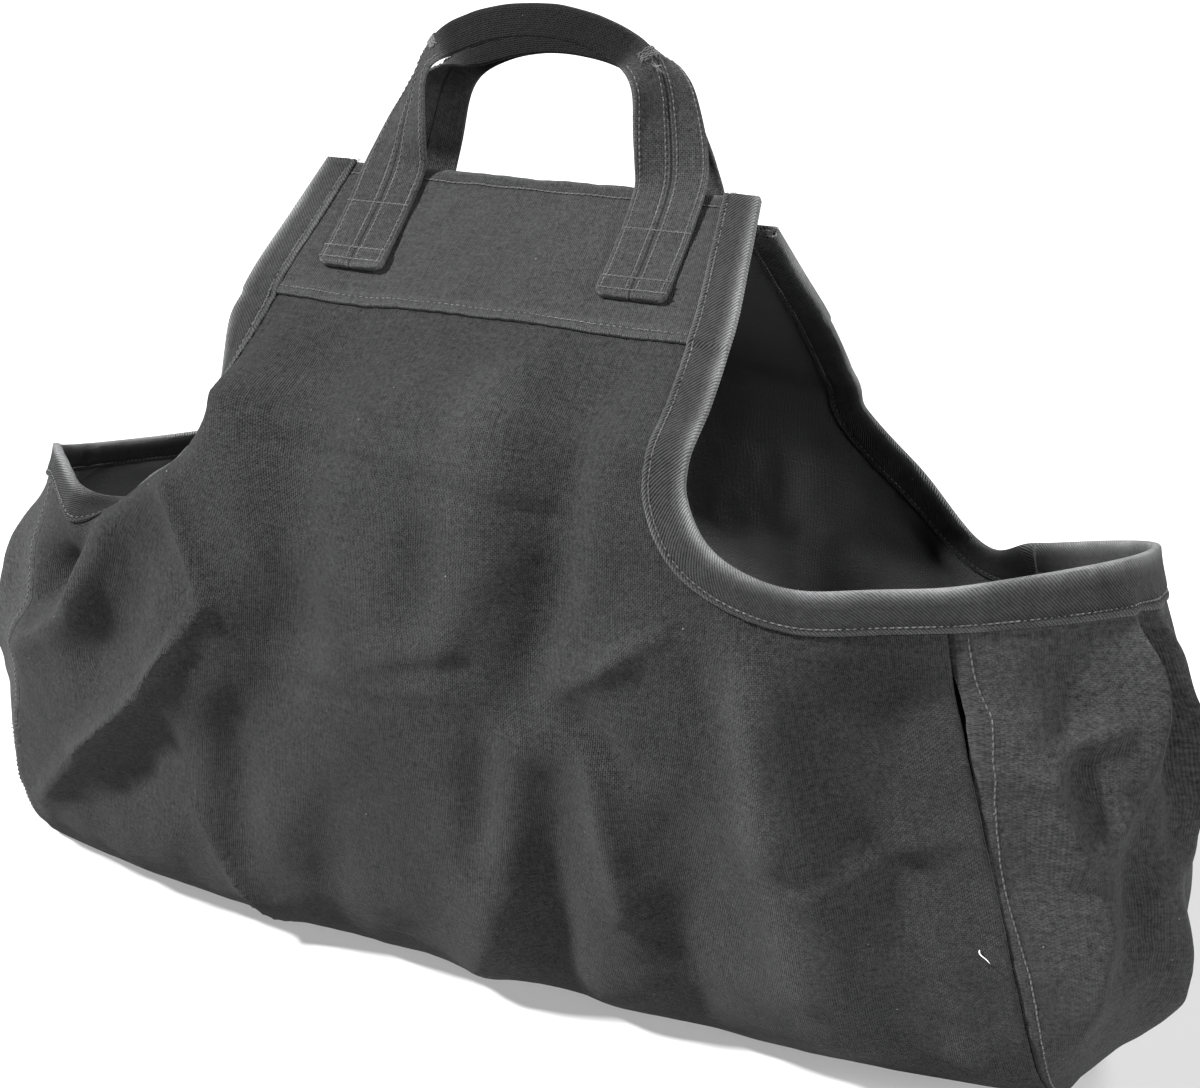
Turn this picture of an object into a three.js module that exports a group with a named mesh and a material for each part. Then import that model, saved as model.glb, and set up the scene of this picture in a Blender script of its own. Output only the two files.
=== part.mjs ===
// A canvas log carrier that stands open and empty. One long sheet of canvas makes the front
// wall, the floor and the back wall, and runs up into a flap at mid length on both sides. A
// gusset closes each end. Tape binds the rim and the flap sides, a facing backs each flap top,
// and a flat strap handle is sewn to each facing and folded in half lengthwise at the grip.
// Millimetres, X along the bag, Y from front to back, Z up, origin under the middle of the bag.
import * as THREE from 'three';

// Cloth and clearances
const canvasThickness = 1.5;
const facingThickness = 1.2;
const tapeThickness = 1.0;
const strapThickness = 2.6;
const seamGap = 0.35;

// The long sheet
const floorLength = 628;
const mouthLength = 474;
const frontDepth = 147;
const backDepth = 145;
const frontEndDepth = 110;
const backEndDepth = 104;
const frontRimHeight = 274;
const backRimHeight = 246;
const frontRimEndHeight = 267;
const backRimEndHeight = 236;

// The flaps
const flapFootWidth = 254;
const flapTopWidth = 232;
const frontFlapHeight = 414;
const backFlapHeight = 396;
const frontFlapTopDepth = 33;
const backFlapTopDepth = -3;
const facingHeight = 84;

// The rim
const tapeWidth = 18.5;
const notchRise = 34;
const rimDip = 28;

// The gussets
const gussetBulge = 81;
const gussetRimLift = 20;

// The handles
const strapWidth = 35;
const frontHandleSpacing = 148;
const backHandleSpacing = 156;
const backHandleShift = -4;
const handleDrop = 65;
const handleStitchTop = 25;
const frontHandleHeight = 498;
const backHandleHeight = 486;
const frontGripDepth = 30;
const backGripDepth = 7;

// Height of the folds that stand out of the cloth
const foldRelief = 9;

// A table holds one row for each section, fold or station, under named columns.
function table(columns, rows) {
  return rows.map((row) => Object.fromEntries(columns.map((column, i) => [column, row[i]])));
}

// Sections of a wall from the middle of the floor to the rim.
// out: share of the wall's depth at mid length. up: share of its rim height.
// along: 0 at the mouth's length, 1 at the floor's. endOut, endUp: the same shares at the end seam.
// round: how late the wall turns towards the end seam. bulge: share of the gusset's bulge.
const wallSections = table(
  ['name', 'out', 'up', 'along', 'endOut', 'endUp', 'round', 'bulge'],
  [
    ['keel', 0, 0, 1, 0, 0, 2, 0],
    ['floor', 0.395, 0, 0.87, 0.41, 0, 4, 0],
    ['heel', 0.646, 0.055, 0.78, 0.6, 0.064, 4, 0.27],
    ['low', 0.823, 0.204, 0.69, 0.82, 0.21, 4, 0.6],
    ['mid', 0.939, 0.456, 0.49, 0.955, 0.468, 4, 0.87],
    ['belly', 1, 0.748, 0.22, 1, 0.76, 5, 1],
    ['rim', 1, 1, 0, 0.987, 1, 6, 1],
  ],
);

// Sections of a flap from the rim to its top edge.
// lean: 0 at the wall's depth, 1 at the flap top's. up: 0 at the rim, 1 at the flap's height.
// width: 0 at the top's width, 1 at the foot's.
const flapSections = table(
  ['name', 'lean', 'up', 'width'],
  [
    ['shoulder', 0.073, 0.29, 0.95],
    ['fall', 0.27, 0.44, 1],
    ['leaf', 0.51, 0.625, 0.9],
    ['band', 0.787, 0.835, 0.42],
    ['edge', 1, 1, 0],
  ],
);

// How the rim is cut beside each notch. rise: share of notchRise at the flap's foot, which fades
// away along the rim. dip: share of rimDip, how low the rim runs at dipAt. fade, dipAt and
// dipSpread are shares of the half length of the mouth.
const rimForms = table(
  ['wall', 'side', 'rise', 'fade', 'dip', 'dipAt', 'dipSpread'],
  [
    ['front', -1, 0.9, 0.05, 0.85, 0.8, 0.12],
    ['front', 1, 0.9, 0.045, 0.2, 0.75, 0.12],
    ['back', -1, 1, 0.1, 0.6, 0.84, 0.12],
    ['back', 1, 1.15, 0.12, 1, 0.86, 0.12],
  ],
);

// The gussets. belly and rim: shares of gussetBulge below the rim and at it. lift: share of
// gussetRimLift.
const endForms = table(
  ['side', 'belly', 'rim', 'lift'],
  [
    [-1, 0.8, 0.5, -0.6],
    [1, 1, 0.88, 1],
  ],
);

// Folds pressed into the walls, each a straight ridge or crease between two places.
// fromAlong, toAlong: shares of the half length. fromUp, toUp: shares of the way up the wall,
// 1 at the rim and 2 at the flap's top edge. spread: half width as a share of the half length.
// relief: share of foldRelief, negative for a crease.
const folds = table(
  ['wall', 'fromAlong', 'fromUp', 'toAlong', 'toUp', 'spread', 'relief'],
  [
    ['front', -0.56, 1.06, -0.92, 0.62, 0.07, 1],
    ['front', -0.5, 0.72, -0.9, 0.44, 0.05, 0.5],
    ['front', 0.6, 0.94, 0.66, 0.5, 0.07, 0.6],
    ['front', -0.36, 0.98, 0.46, 1.02, 0.03, -0.3],
    ['front', -0.42, 0.42, -0.2, 0.12, 0.04, -0.4],
    ['front', 0.2, 0.75, 0.12, 0.3, 0.06, 0.4],
    ['back', 0.58, 0.96, 0.8, 0.5, 0.07, 0.6],
    ['back', -0.58, 0.96, -0.82, 0.5, 0.07, 0.6],
    ['back', -0.3, 0.9, 0.3, 0.86, 0.04, -0.3],
  ],
);

// Upright pleats of the gussets. across: 0 at the front seam, 1 at the back seam.
// fromUp, toUp: shares of the way from the floor to the rim.
const pleats = table(
  ['across', 'fromUp', 'toUp', 'spread', 'relief'],
  [
    [0.34, 0.98, 0.45, 0.05, -0.4],
    [0.52, 1, 0.6, 0.045, 0.7],
    [0.7, 0.9, 0.3, 0.06, -0.5],
  ],
);

// Half of a handle from the flap's edge to the middle of its grip.
// up: 0 at the flap's edge, 1 at the handle's top. along: 1 at the sewn foot, 0 at mid grip.
// out: 1 at the flap's edge, 0 at the grip. turn and lift aim the strap's face in degrees, from
// straight out towards the end of the bag, and upwards. fold: degrees each half folds down.
const handleStations = table(
  ['up', 'along', 'out', 'turn', 'lift', 'fold'],
  [
    [0.15, 0.985, 0.7, 22, 8, 4],
    [0.36, 0.945, 0.35, 42, 6, 12],
    [0.5, 0.92, 0.15, 52, 8, 24],
    [0.65, 0.87, 0.05, 60, 20, 38],
    [0.79, 0.77, 0, 68, 48, 62],
    [0.885, 0.6, 0, 75, 72, 72],
    [0.97, 0.32, 0, 80, 84, 74],
    [1, 0, 0, 90, 90, 74],
  ],
);

// How finely the sheets are divided
const floorSteps = 4;
const lowerSteps = [0, floorSteps, 2, 2, 2];
const upperSteps = 5;
const flapSteps = 5;
const facingSteps = 4;
const flapColumns = [0, 0.21, 0.42, 0.63];
const pocketColumns = [0.06, 0.14, 0.26, 0.42, 0.6, 0.8, 1];
const gussetColumns = 2 * floorSteps;
const handleSteps = 46;

// How far a strap stands off the flap's top edge, as a share of its own thickness
const handleLiftOff = 1;

// Width of the tape at the notch's corner, as a share of its width elsewhere
const tapeCornerReach = 1.15;

// Exponents that round a form off
const endUpRound = 3;
const notchRound = 6;
const gussetRound = 2.4;

const floorHalf = floorLength / 2;
const mouthHalf = mouthLength / 2;
const notchShare = flapFootWidth / mouthLength;
const tapeShare = (2 * tapeWidth) / (flapFootWidth + flapTopWidth);
const rimSection = wallSections.length - 1;

const walls = {
  front: {
    name: 'front',
    side: -1,
    depth: frontDepth,
    endDepth: frontEndDepth,
    rimHeight: frontRimHeight,
    rimEndHeight: frontRimEndHeight,
    flapHeight: frontFlapHeight,
    flapTopDepth: frontFlapTopDepth,
    gripDepth: frontGripDepth,
    handleHeight: frontHandleHeight,
    handleSpacing: frontHandleSpacing,
    handleShift: 0,
  },
  back: {
    name: 'back',
    side: 1,
    depth: backDepth,
    endDepth: backEndDepth,
    rimHeight: backRimHeight,
    rimEndHeight: backRimEndHeight,
    flapHeight: backFlapHeight,
    flapTopDepth: backFlapTopDepth,
    gripDepth: backGripDepth,
    handleHeight: backHandleHeight,
    handleSpacing: backHandleSpacing,
    handleShift: backHandleShift,
  },
};

const { lerp, clamp, degToRad } = THREE.MathUtils;

// Slope of a smooth curve at each knot that never overshoots its values.
function knotSlopes(knots, values) {
  const last = knots.length - 1;
  const secants = values.slice(1).map((value, i) => (value - values[i]) / (knots[i + 1] - knots[i]));
  return knots.map((_, i) => {
    if (i === 0) return secants[0];
    if (i === last) return secants[last - 1];
    const before = secants[i - 1];
    const after = secants[i];
    return before * after > 0 ? (2 * before * after) / (before + after) : 0;
  });
}

// Value of the smooth curve through the knots at a place along it.
function smooth(knots, values, at) {
  const slopes = knotSlopes(knots, values);
  let i = 0;
  while (i < knots.length - 2 && at > knots[i + 1]) i += 1;
  const span = knots[i + 1] - knots[i];
  const t = clamp((at - knots[i]) / span, 0, 1);
  const rest = 1 - t;
  const start = rest * rest * ((1 + 2 * t) * values[i] + t * span * slopes[i]);
  const end = t * t * ((3 - 2 * t) * values[i + 1] - rest * span * slopes[i + 1]);
  return start + end;
}

// Where one column of a wall passes each section, across being -1 to 1 along the length.
function sectionPoints(wall, across) {
  const share = Math.abs(across);
  const points = wallSections.map((section) => {
    const turned = share ** section.round;
    const out = lerp(wall.depth * section.out, wall.endDepth * section.endOut, turned);
    const rise = share ** endUpRound;
    const up = lerp(wall.rimHeight * section.up, wall.rimEndHeight * section.endUp, rise);
    const x = across * lerp(mouthHalf, floorHalf, section.along);
    return new THREE.Vector3(x, wall.side * out, up);
  });
  const flap = flapSections.map((section) => {
    const halfWidth = lerp(flapTopWidth, flapFootWidth, section.width) / 2;
    const out = lerp(wall.depth, wall.flapTopDepth, section.lean);
    const up = lerp(wall.rimHeight, wall.flapHeight, section.up);
    return new THREE.Vector3((across / notchShare) * halfWidth, wall.side * out, up);
  });
  return points.concat(flap);
}

// Length of cloth from the middle of the floor to each section, at mid length.
function girths(wall) {
  const points = sectionPoints(wall, 0);
  let length = 0;
  return points.map((point, i) => {
    if (i > 0) length += point.distanceTo(points[i - 1]);
    return length;
  });
}

for (const wall of Object.values(walls)) {
  wall.girths = girths(wall);
  wall.rimGirth = wall.girths[rimSection];
  wall.topGirth = wall.girths.at(-1);
}

// Smooth surface of a wall before its folds, girth being the length of cloth from the floor's
// middle.
function plainWall(wall, across, girth) {
  const points = sectionPoints(wall, across);
  const x = smooth(wall.girths, points.map((point) => point.x), girth);
  const y = smooth(wall.girths, points.map((point) => point.y), girth);
  const z = smooth(wall.girths, points.map((point) => point.z), girth);
  return new THREE.Vector3(x, y, z);
}

// Outward normal of a surface given as a function of two parameters.
function normalOf(surface, u, v, du, dv, side) {
  const alongU = surface(u + du, v).sub(surface(u - du, v));
  const alongV = surface(u, v + dv).sub(surface(u, v - dv));
  return alongU.cross(alongV).multiplyScalar(side).normalize();
}

// How far the folds lift a wall's cloth at a place.
function foldHeight(wall, across, girth) {
  const up = girth <= wall.rimGirth
    ? girth / wall.rimGirth
    : 1 + (girth - wall.rimGirth) / (wall.topGirth - wall.rimGirth);
  const upScale = wall.rimGirth / mouthHalf;
  let height = 0;
  for (const fold of folds) {
    if (fold.wall !== wall.name) continue;
    const start = new THREE.Vector2(fold.fromAlong, fold.fromUp * upScale);
    const end = new THREE.Vector2(fold.toAlong, fold.toUp * upScale);
    const place = new THREE.Vector2(across, up * upScale);
    const run = end.clone().sub(start);
    const along = clamp(place.clone().sub(start).dot(run) / run.lengthSq(), 0, 1);
    const distance = place.distanceTo(start.addScaledVector(run, along));
    const swell = 0.5 + 0.5 * Math.sin(Math.PI * along);
    height += foldRelief * fold.relief * swell * Math.exp(-((distance / fold.spread) ** 2));
  }
  const fromEdge = Math.max(cutGirth(wall, across) - girth, (notchShare - Math.abs(across)) * mouthHalf);
  return height * smoothRange(up, 0.12, 0.3) * smoothRange(fromEdge, 1.3 * tapeWidth, 2.6 * tapeWidth);
}

// 0 below the first limit, 1 above the second, eased between them.
function smoothRange(value, from, to) {
  return THREE.MathUtils.smoothstep(value, from, to);
}

// Small steps for slopes, in shares of the length and millimetres of girth
const slopeAcross = 0.004;
const slopeGirth = 1;

function plainNormal(wall, across, girth) {
  const safeAcross = clamp(across, slopeAcross - 1, 1 - slopeAcross);
  const safeGirth = Math.max(girth, slopeGirth);
  const surface = (u, v) => plainWall(wall, u, v);
  return normalOf(surface, safeAcross, safeGirth, slopeAcross, slopeGirth, -wall.side);
}

// Outer face of a wall with its folds.
function wallPoint(wall, across, girth) {
  const lift = foldHeight(wall, across, girth);
  const point = plainWall(wall, across, girth);
  return lift === 0 ? point : point.addScaledVector(plainNormal(wall, across, girth), lift);
}

// Direction along the cloth's edge side, away from mid length.
function outwardAlong(wall, side, girth) {
  const step = slopeAcross;
  return wallPoint(wall, side, girth).sub(wallPoint(wall, side * (1 - step), girth)).normalize();
}

// Girth at which a wall's cloth is cut, across being a share of the half length.
function cutGirth(wall, across) {
  const side = across < 0 ? -1 : 1;
  const form = rimForms.find((row) => row.wall === wall.name && row.side === side);
  const share = Math.abs(across);
  const notch = share > notchShare
    ? Math.exp((notchShare - share) / form.fade)
    : (share / notchShare) ** notchRound;
  const dip = Math.exp(-(((share - form.dipAt) / form.dipSpread) ** 2));
  return wall.rimGirth + notchRise * form.rise * notch - rimDip * form.dip * dip;
}

function evenly(from, to, steps) {
  return Array.from({ length: steps }, (_, i) => lerp(from, to, (i + 1) / steps));
}

// Girths of a column's rows from the floor's middle to the cut, the last but one at the tape's
// lower edge.
function wallGirths(wall, across) {
  const cut = cutGirth(wall, across);
  const lower = lowerSteps.flatMap((steps, i) => evenly(wall.girths[i - 1], wall.girths[i], steps));
  const upper = evenly(wall.girths[lowerSteps.length - 1], cut - tapeWidth, upperSteps);
  return [0, ...lower, ...upper, cut];
}

// Girths of a flap's rows above the cut, one of them at the facing's lower edge.
function flapGirths(wall, across) {
  const facingEdge = wall.topGirth - facingHeight;
  return [
    ...evenly(cutGirth(wall, across), facingEdge, flapSteps),
    ...evenly(facingEdge, wall.topGirth, facingSteps),
  ];
}

// Columns of half the sheet from mid length, one at the tape's inner edge and one at the flap's.
const halfColumns = [
  ...[...flapColumns, 1 - tapeShare, 1].map((share) => share * notchShare),
  ...pocketColumns.map((share) => lerp(notchShare, 1, share)),
];
const sheetColumns = [...halfColumns.slice(1).reverse().map((share) => -share), ...halfColumns];
const columnMiddle = halfColumns.length - 1;
const columnLast = 2 * columnMiddle;
const flapColumn = flapColumns.length + 1;

// Rows counted from the floor's middle
const rimRow = wallGirths(walls.front, 0).length - 1;
const tapeRow = rimRow - 1;
const bellyRow = tapeRow - upperSteps;
const facingRow = rimRow + flapSteps;
const topRow = facingRow + facingSteps;

// Places of a wall's grid as [across, girth], each row from the left to the right.
function wallPlaces(wall) {
  const grid = Array.from({ length: topRow + 1 }, () => []);
  for (const across of sheetColumns) {
    const girths = [...wallGirths(wall, across), ...flapGirths(wall, across)];
    girths.forEach((girth, row) => grid[row].push([across, girth]));
  }
  for (const side of [-1, 1]) squareTape(grid, side);
  sheetColumns.forEach((_, column) => spreadRows(grid, column));
  return grid;
}

// Spreads a column's rows evenly between the belly and the tape's lower edge.
function spreadRows(grid, column) {
  const [startAcross, startGirth] = grid[bellyRow][column];
  const [endAcross, endGirth] = grid[tapeRow][column];
  for (let row = bellyRow + 1; row < tapeRow; row += 1) {
    const share = (row - bellyRow) / (tapeRow - bellyRow);
    grid[row][column] = [lerp(startAcross, endAcross, share), lerp(startGirth, endGirth, share)];
  }
}

// Moves the places along the tape's inner line so that they lie a tape's width in from the
// edge, measured square to it on the flat cloth.
function squareTape(grid, side) {
  const edgeColumn = columnMiddle + side * flapColumn;
  const inColumn = edgeColumn - side;
  const edge = [];
  for (let row = topRow; row > rimRow; row -= 1) edge.push({ row, column: edgeColumn, to: [row, inColumn] });
  for (let column = edgeColumn; column >= 0 && column <= columnLast; column += side) {
    edge.push({ row: rimRow, column, to: [tapeRow, column] });
  }
  const flat = ({ row, column }) => {
    const [across, girth] = grid[row][column];
    return new THREE.Vector2(across * mouthHalf, girth);
  };
  const inward = edge.map((place, i) => {
    const before = flat(edge[Math.max(0, i - 1)]);
    const after = flat(edge[Math.min(edge.length - 1, i + 1)]);
    const run = after.sub(before).normalize();
    return flat(place).add(new THREE.Vector2(side * run.y, -side * run.x).multiplyScalar(tapeWidth));
  });
  const corner = edge.findIndex((place) => place.row === rimRow);
  const settle = ([row, column], point) => {
    grid[row][column] = [point.x / mouthHalf, point.y];
  };
  edge.forEach((place, i) => {
    if (i !== corner && i !== 0 && i !== edge.length - 1) settle(place.to, inward[i]);
  });
  const middle = inward[corner];
  settle([rimRow, inColumn], middle.clone().lerp(inward[corner - 1], 1 / 3));
  settle([tapeRow, inColumn], flat(edge[corner]).lerp(middle, tapeCornerReach));
  settle([tapeRow, edgeColumn], middle.clone().lerp(inward[corner + 1], 1 / 3));
}

// Vertex normals of a grid of points from its own neighbours, shared over the cells that exist.
function gridNormals(points, hasCell) {
  const normals = points.map((row) => row.map(() => new THREE.Vector3()));
  for (let i = 0; i < points.length - 1; i += 1) {
    for (let j = 0; j < points[i].length - 1; j += 1) {
      if (!hasCell(i, j)) continue;
      const first = points[i + 1][j + 1].clone().sub(points[i][j]);
      const second = points[i + 1][j].clone().sub(points[i][j + 1]);
      const normal = first.cross(second).normalize();
      for (const [di, dj] of [[0, 0], [1, 0], [0, 1], [1, 1]]) normals[i + di][j + dj].add(normal);
    }
  }
  return normals.map((row) => row.map((normal) => normal.normalize()));
}

// A closed wall from pairs of outer and inner points and the four-sided cells that join them.
// Every free edge is closed by a strip across the thickness.
function shell(pairs, cells) {
  const positions = [0, 1].flatMap((face) => pairs.flatMap((pair) => pair[face].toArray()));
  const inner = pairs.length;
  const index = [];
  const edges = new Map();
  for (const [a, b, c, d] of cells) {
    for (const face of [[a, b, c], [a, c, d]]) {
      index.push(...face, inner + face[0], inner + face[2], inner + face[1]);
      face.forEach((from, i) => {
        const to = face[(i + 1) % 3];
        if (!edges.delete(`${to} ${from}`)) edges.set(`${from} ${to}`, [from, to]);
      });
    }
  }
  for (const [from, to] of edges.values()) {
    index.push(to, from, inner + from, to, inner + from, inner + to);
  }
  return usedOnly(positions, index);
}

// Cells of a grid with the given number of columns, numbered row by row.
function gridCells(rows, columns, hasCell = () => true) {
  const cells = [];
  for (let i = 0; i < rows - 1; i += 1) {
    for (let j = 0; j < columns - 1; j += 1) {
      if (hasCell(i, j)) cells.push(gridCell(i, j, columns));
    }
  }
  return cells;
}

function gridCell(i, j, columns) {
  const start = i * columns + j;
  return [start, start + 1, start + columns + 1, start + columns];
}

function turnedOver(cells) {
  return cells.map(([a, b, c, d]) => [a, d, c, b]);
}

// Outer and inner points at two distances from a grid of points along its normals.
function layer(points, normals, outer, inner) {
  return points.flatMap((row, i) => row.map((point, j) => [
    point.clone().addScaledVector(normals[i][j], outer),
    point.clone().addScaledVector(normals[i][j], inner),
  ]));
}

// A geometry of only the points that its triangles use.
function usedOnly(positions, index) {
  const places = new Map();
  const kept = [];
  const renumbered = index.map((old) => {
    if (!places.has(old)) {
      places.set(old, places.size);
      kept.push(...positions.slice(3 * old, 3 * old + 3));
    }
    return places.get(old);
  });
  const geometry = new THREE.BufferGeometry();
  geometry.setAttribute('position', new THREE.Float32BufferAttribute(kept, 3));
  geometry.setIndex(renumbered);
  geometry.computeVertexNormals();
  return geometry;
}

// The long sheet, its rows running from the back flap's edge under the floor to the front's.
const frontPlaces = wallPlaces(walls.front);
const backPlaces = wallPlaces(walls.back);
const sheetPoints = [
  ...backPlaces.slice(1).reverse().map((row) => row.map((place) => wallPoint(walls.back, ...place))),
  ...frontPlaces.map((row) => row.map((place) => wallPoint(walls.front, ...place))),
];
const columnCount = sheetColumns.length;

// Row of the sheet's grid that holds a wall's row.
function sheetRow(wall, row) {
  return topRow - wall.side * row;
}

function sheetHasCell(i, j) {
  const row = Math.max(Math.abs(i - topRow), Math.abs(i + 1 - topRow));
  const column = Math.max(Math.abs(j - columnMiddle), Math.abs(j + 1 - columnMiddle));
  return row <= rimRow || column <= flapColumn;
}

const sheetNormals = gridNormals(sheetPoints, sheetHasCell);

function bodyPanel() {
  const cells = gridCells(sheetPoints.length, columnCount, sheetHasCell);
  return shell(layer(sheetPoints, sheetNormals, 0, -canvasThickness), cells);
}

// The gussets. Edge of a wall where the gusset meets it, set off by a seam's clearance.
const seamOffset = seamGap + canvasThickness;

function seamPoint(wall, side, girth) {
  const along = outwardAlong(wall, side, girth);
  return wallPoint(wall, side, girth).addScaledVector(along, seamOffset);
}

function gussetPoints(side) {
  const floorGirth = walls.front.girths[1];
  const bulgeKnots = walls.front.girths.slice(0, rimSection + 1);
  const form = endForms.find((row) => row.side === side);
  const bulgeShares = wallSections.map((section) => section.bulge * form.belly);
  bulgeShares[rimSection] = form.rim;
  const frontGirths = wallGirths(walls.front, side);
  const backGirths = wallGirths(walls.back, side);
  const grid = [];
  for (let row = floorSteps; row <= rimRow; row += 1) {
    const frontGirth = frontGirths[row];
    const backGirth = backGirths[row];
    const up = (frontGirth - floorGirth) / (frontGirths[rimRow] - floorGirth);
    const bulge = gussetBulge * smooth(bulgeKnots, bulgeShares, frontGirth);
    const front = seamPoint(walls.front, side, frontGirth);
    const back = seamPoint(walls.back, side, backGirth);
    const points = [];
    for (let column = 0; column <= gussetColumns; column += 1) {
      const across = column / gussetColumns;
      const point = front.clone().lerp(back, across);
      const round = 1 - Math.abs(2 * across - 1) ** gussetRound;
      point.x += side * (bulge * round + pleatHeight(across, up));
      point.z += gussetRimLift * form.lift * round * up ** notchRound;
      point.addScaledVector(floorBow(side, column), (1 - up) ** endUpRound);
      points.push(point);
    }
    grid.push(points);
  }
  return grid;
}

// How far the floor's end curves out beyond the straight line between its corners.
function floorBow(side, column) {
  const ends = [walls.front, walls.back].map((wall) => seamPoint(wall, side, wall.girths[1]));
  const wall = column < floorSteps ? walls.front : walls.back;
  const girth = wallGirths(wall, side)[Math.abs(column - floorSteps)];
  const straight = ends[0].lerp(ends[1], column / gussetColumns);
  return seamPoint(wall, side, girth).sub(straight);
}

function pleatHeight(across, up) {
  let height = 0;
  for (const pleat of pleats) {
    const reach = smoothRange(up, pleat.toUp - 0.15, pleat.toUp + 0.15);
    const fade = 1 - smoothRange(up, pleat.fromUp, pleat.fromUp + 0.2);
    const ridge = Math.exp(-(((across - pleat.across) / pleat.spread) ** 2));
    height += foldRelief * pleat.relief * reach * fade * ridge;
  }
  return height;
}

function gussetNormals(points, side) {
  const normals = gridNormals(points, () => true);
  return normals.map((row) => row.map((normal) => normal.multiplyScalar(side)));
}

function endGusset(side) {
  const points = gussetPoints(side);
  const pairs = layer(points, gussetNormals(points, side), 0, -canvasThickness);
  const cells = gridCells(points.length, gussetColumns + 1);
  return shell(pairs, side > 0 ? cells : turnedOver(cells));
}

// The binding. Its legs lie along the outermost cells of the cloth on both faces, and a crown
// joins them round the cloth's edge.
const facingOut = seamGap + facingThickness;

// Points of cloth under the tape of one end, with their normals and how far out the facing
// reaches there, the cells of its outer leg and the cloth's edge from flap top to flap top.
function tapedCloth(side) {
  const spots = [];
  const cells = [];
  const numbers = new Map();
  const spot = (key, point, normal, cover = 0) => {
    if (!numbers.has(key)) {
      numbers.set(key, spots.length);
      spots.push({ point, normal, cover });
    }
    return numbers.get(key);
  };
  const onSheet = (wall, row, column) => {
    const i = sheetRow(wall, row);
    const cover = row >= facingRow ? facingOut : 0;
    return spot(`sheet ${i} ${column}`, sheetPoints[i][column], sheetNormals[i][column], cover);
  };
  const edgeColumn = columnMiddle + side * flapColumn;
  const endColumn = columnMiddle + side * columnMiddle;
  const onWall = (wall) => {
    const cell = (row, column) => {
      const [low, high] = [row, row + 1].sort((a, b) => wall.side * (b - a));
      const [left, right] = [column, column - side].sort((a, b) => a - b);
      cells.push([[low, left], [low, right], [high, right], [high, left]].map((at) => onSheet(wall, ...at)));
    };
    for (let row = topRow - 1; row >= tapeRow; row -= 1) cell(row, edgeColumn);
    for (let column = edgeColumn; column !== endColumn; column += side) cell(tapeRow, column + side);
    const edge = [];
    for (let row = topRow; row > rimRow; row -= 1) edge.push(onSheet(wall, row, edgeColumn));
    for (let column = edgeColumn; column !== endColumn + side; column += side) {
      edge.push(onSheet(wall, rimRow, column));
    }
    return edge;
  };
  const gusset = gussetPoints(side);
  const normals = gussetNormals(gusset, side);
  const onGusset = (fromTop, column) => {
    const i = gusset.length - 1 - fromTop;
    return spot(`gusset ${i} ${column}`, gusset[i][column], normals[i][column]);
  };
  const frontEdge = onWall(walls.front);
  const backEdge = onWall(walls.back).reverse();
  const across = [
    [onSheet(walls.front, tapeRow, endColumn), onSheet(walls.front, rimRow, endColumn)],
    ...gusset[0].map((_, column) => [onGusset(1, column), onGusset(0, column)]),
    [onSheet(walls.back, tapeRow, endColumn), onSheet(walls.back, rimRow, endColumn)],
  ];
  for (let i = 0; i < across.length - 1; i += 1) {
    const cell = [across[i][0], across[i + 1][0], across[i + 1][1], across[i][1]];
    cells.push(...(side > 0 ? [cell] : turnedOver([cell])));
  }
  const edge = [...frontEdge, ...gusset[0].map((_, column) => onGusset(0, column)), ...backEdge];
  return { spots, cells, edge };
}

function rimTape(side) {
  const { spots, cells, edge } = tapedCloth(side);
  const near = seamGap;
  const far = seamGap + tapeThickness;
  const place = ({ point, normal }, out, away, beyond) => point.clone()
    .addScaledVector(normal, out)
    .addScaledVector(away, beyond);
  const none = new THREE.Vector3();
  const outerLeg = spots.map((spot) => [far, near].map((out) => place(spot, spot.cover + out, none, 0)));
  const innerLeg = spots.map((spot) => [far, near].map((out) => place(spot, -canvasThickness - out, none, 0)));
  const crown = edge.map((number, i) => {
    const spot = spots[number];
    const before = spots[edge[Math.max(0, i - 1)]].point;
    const after = spots[edge[Math.min(edge.length - 1, i + 1)]].point;
    const away = after.clone().sub(before).cross(spot.normal).normalize().multiplyScalar(-side);
    const outer = [place(spot, spot.cover, away, far), place(spot, spot.cover + near, away, near)];
    const inner = [place(spot, -canvasThickness, away, far), place(spot, -canvasThickness - near, away, near)];
    return [outer, inner];
  });
  const innerStart = spots.length;
  const crownStart = 2 * spots.length;
  const round = [];
  for (let i = 0; i < edge.length - 1; i += 1) {
    const ring = (k) => [edge[k], crownStart + 2 * k, crownStart + 2 * k + 1, innerStart + edge[k]];
    const here = ring(i);
    const next = ring(i + 1);
    for (let k = 0; k < 3; k += 1) round.push([here[k], next[k], next[k + 1], here[k + 1]]);
  }
  const innerCells = turnedOver(cells).map((cell) => cell.map((number) => innerStart + number));
  const crownCells = side > 0 ? round : turnedOver(round);
  return shell([...outerLeg, ...innerLeg, ...crown.flat()], [...cells, ...innerCells, ...crownCells]);
}

// The facing on a flap's outer face, from its top edge down to its stitched lower edge.
function topFacing(wall) {
  const first = columnMiddle - flapColumn;
  const last = columnMiddle + flapColumn;
  const rows = [];
  for (let row = facingRow; row <= topRow; row += 1) rows.push(sheetRow(wall, row));
  rows.sort((a, b) => a - b);
  const points = rows.map((i) => sheetPoints[i].slice(first, last + 1));
  const normals = rows.map((i) => sheetNormals[i].slice(first, last + 1));
  const cells = gridCells(points.length, last + 1 - first);
  return shell(layer(points, normals, facingOut, seamGap), cells);
}

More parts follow.
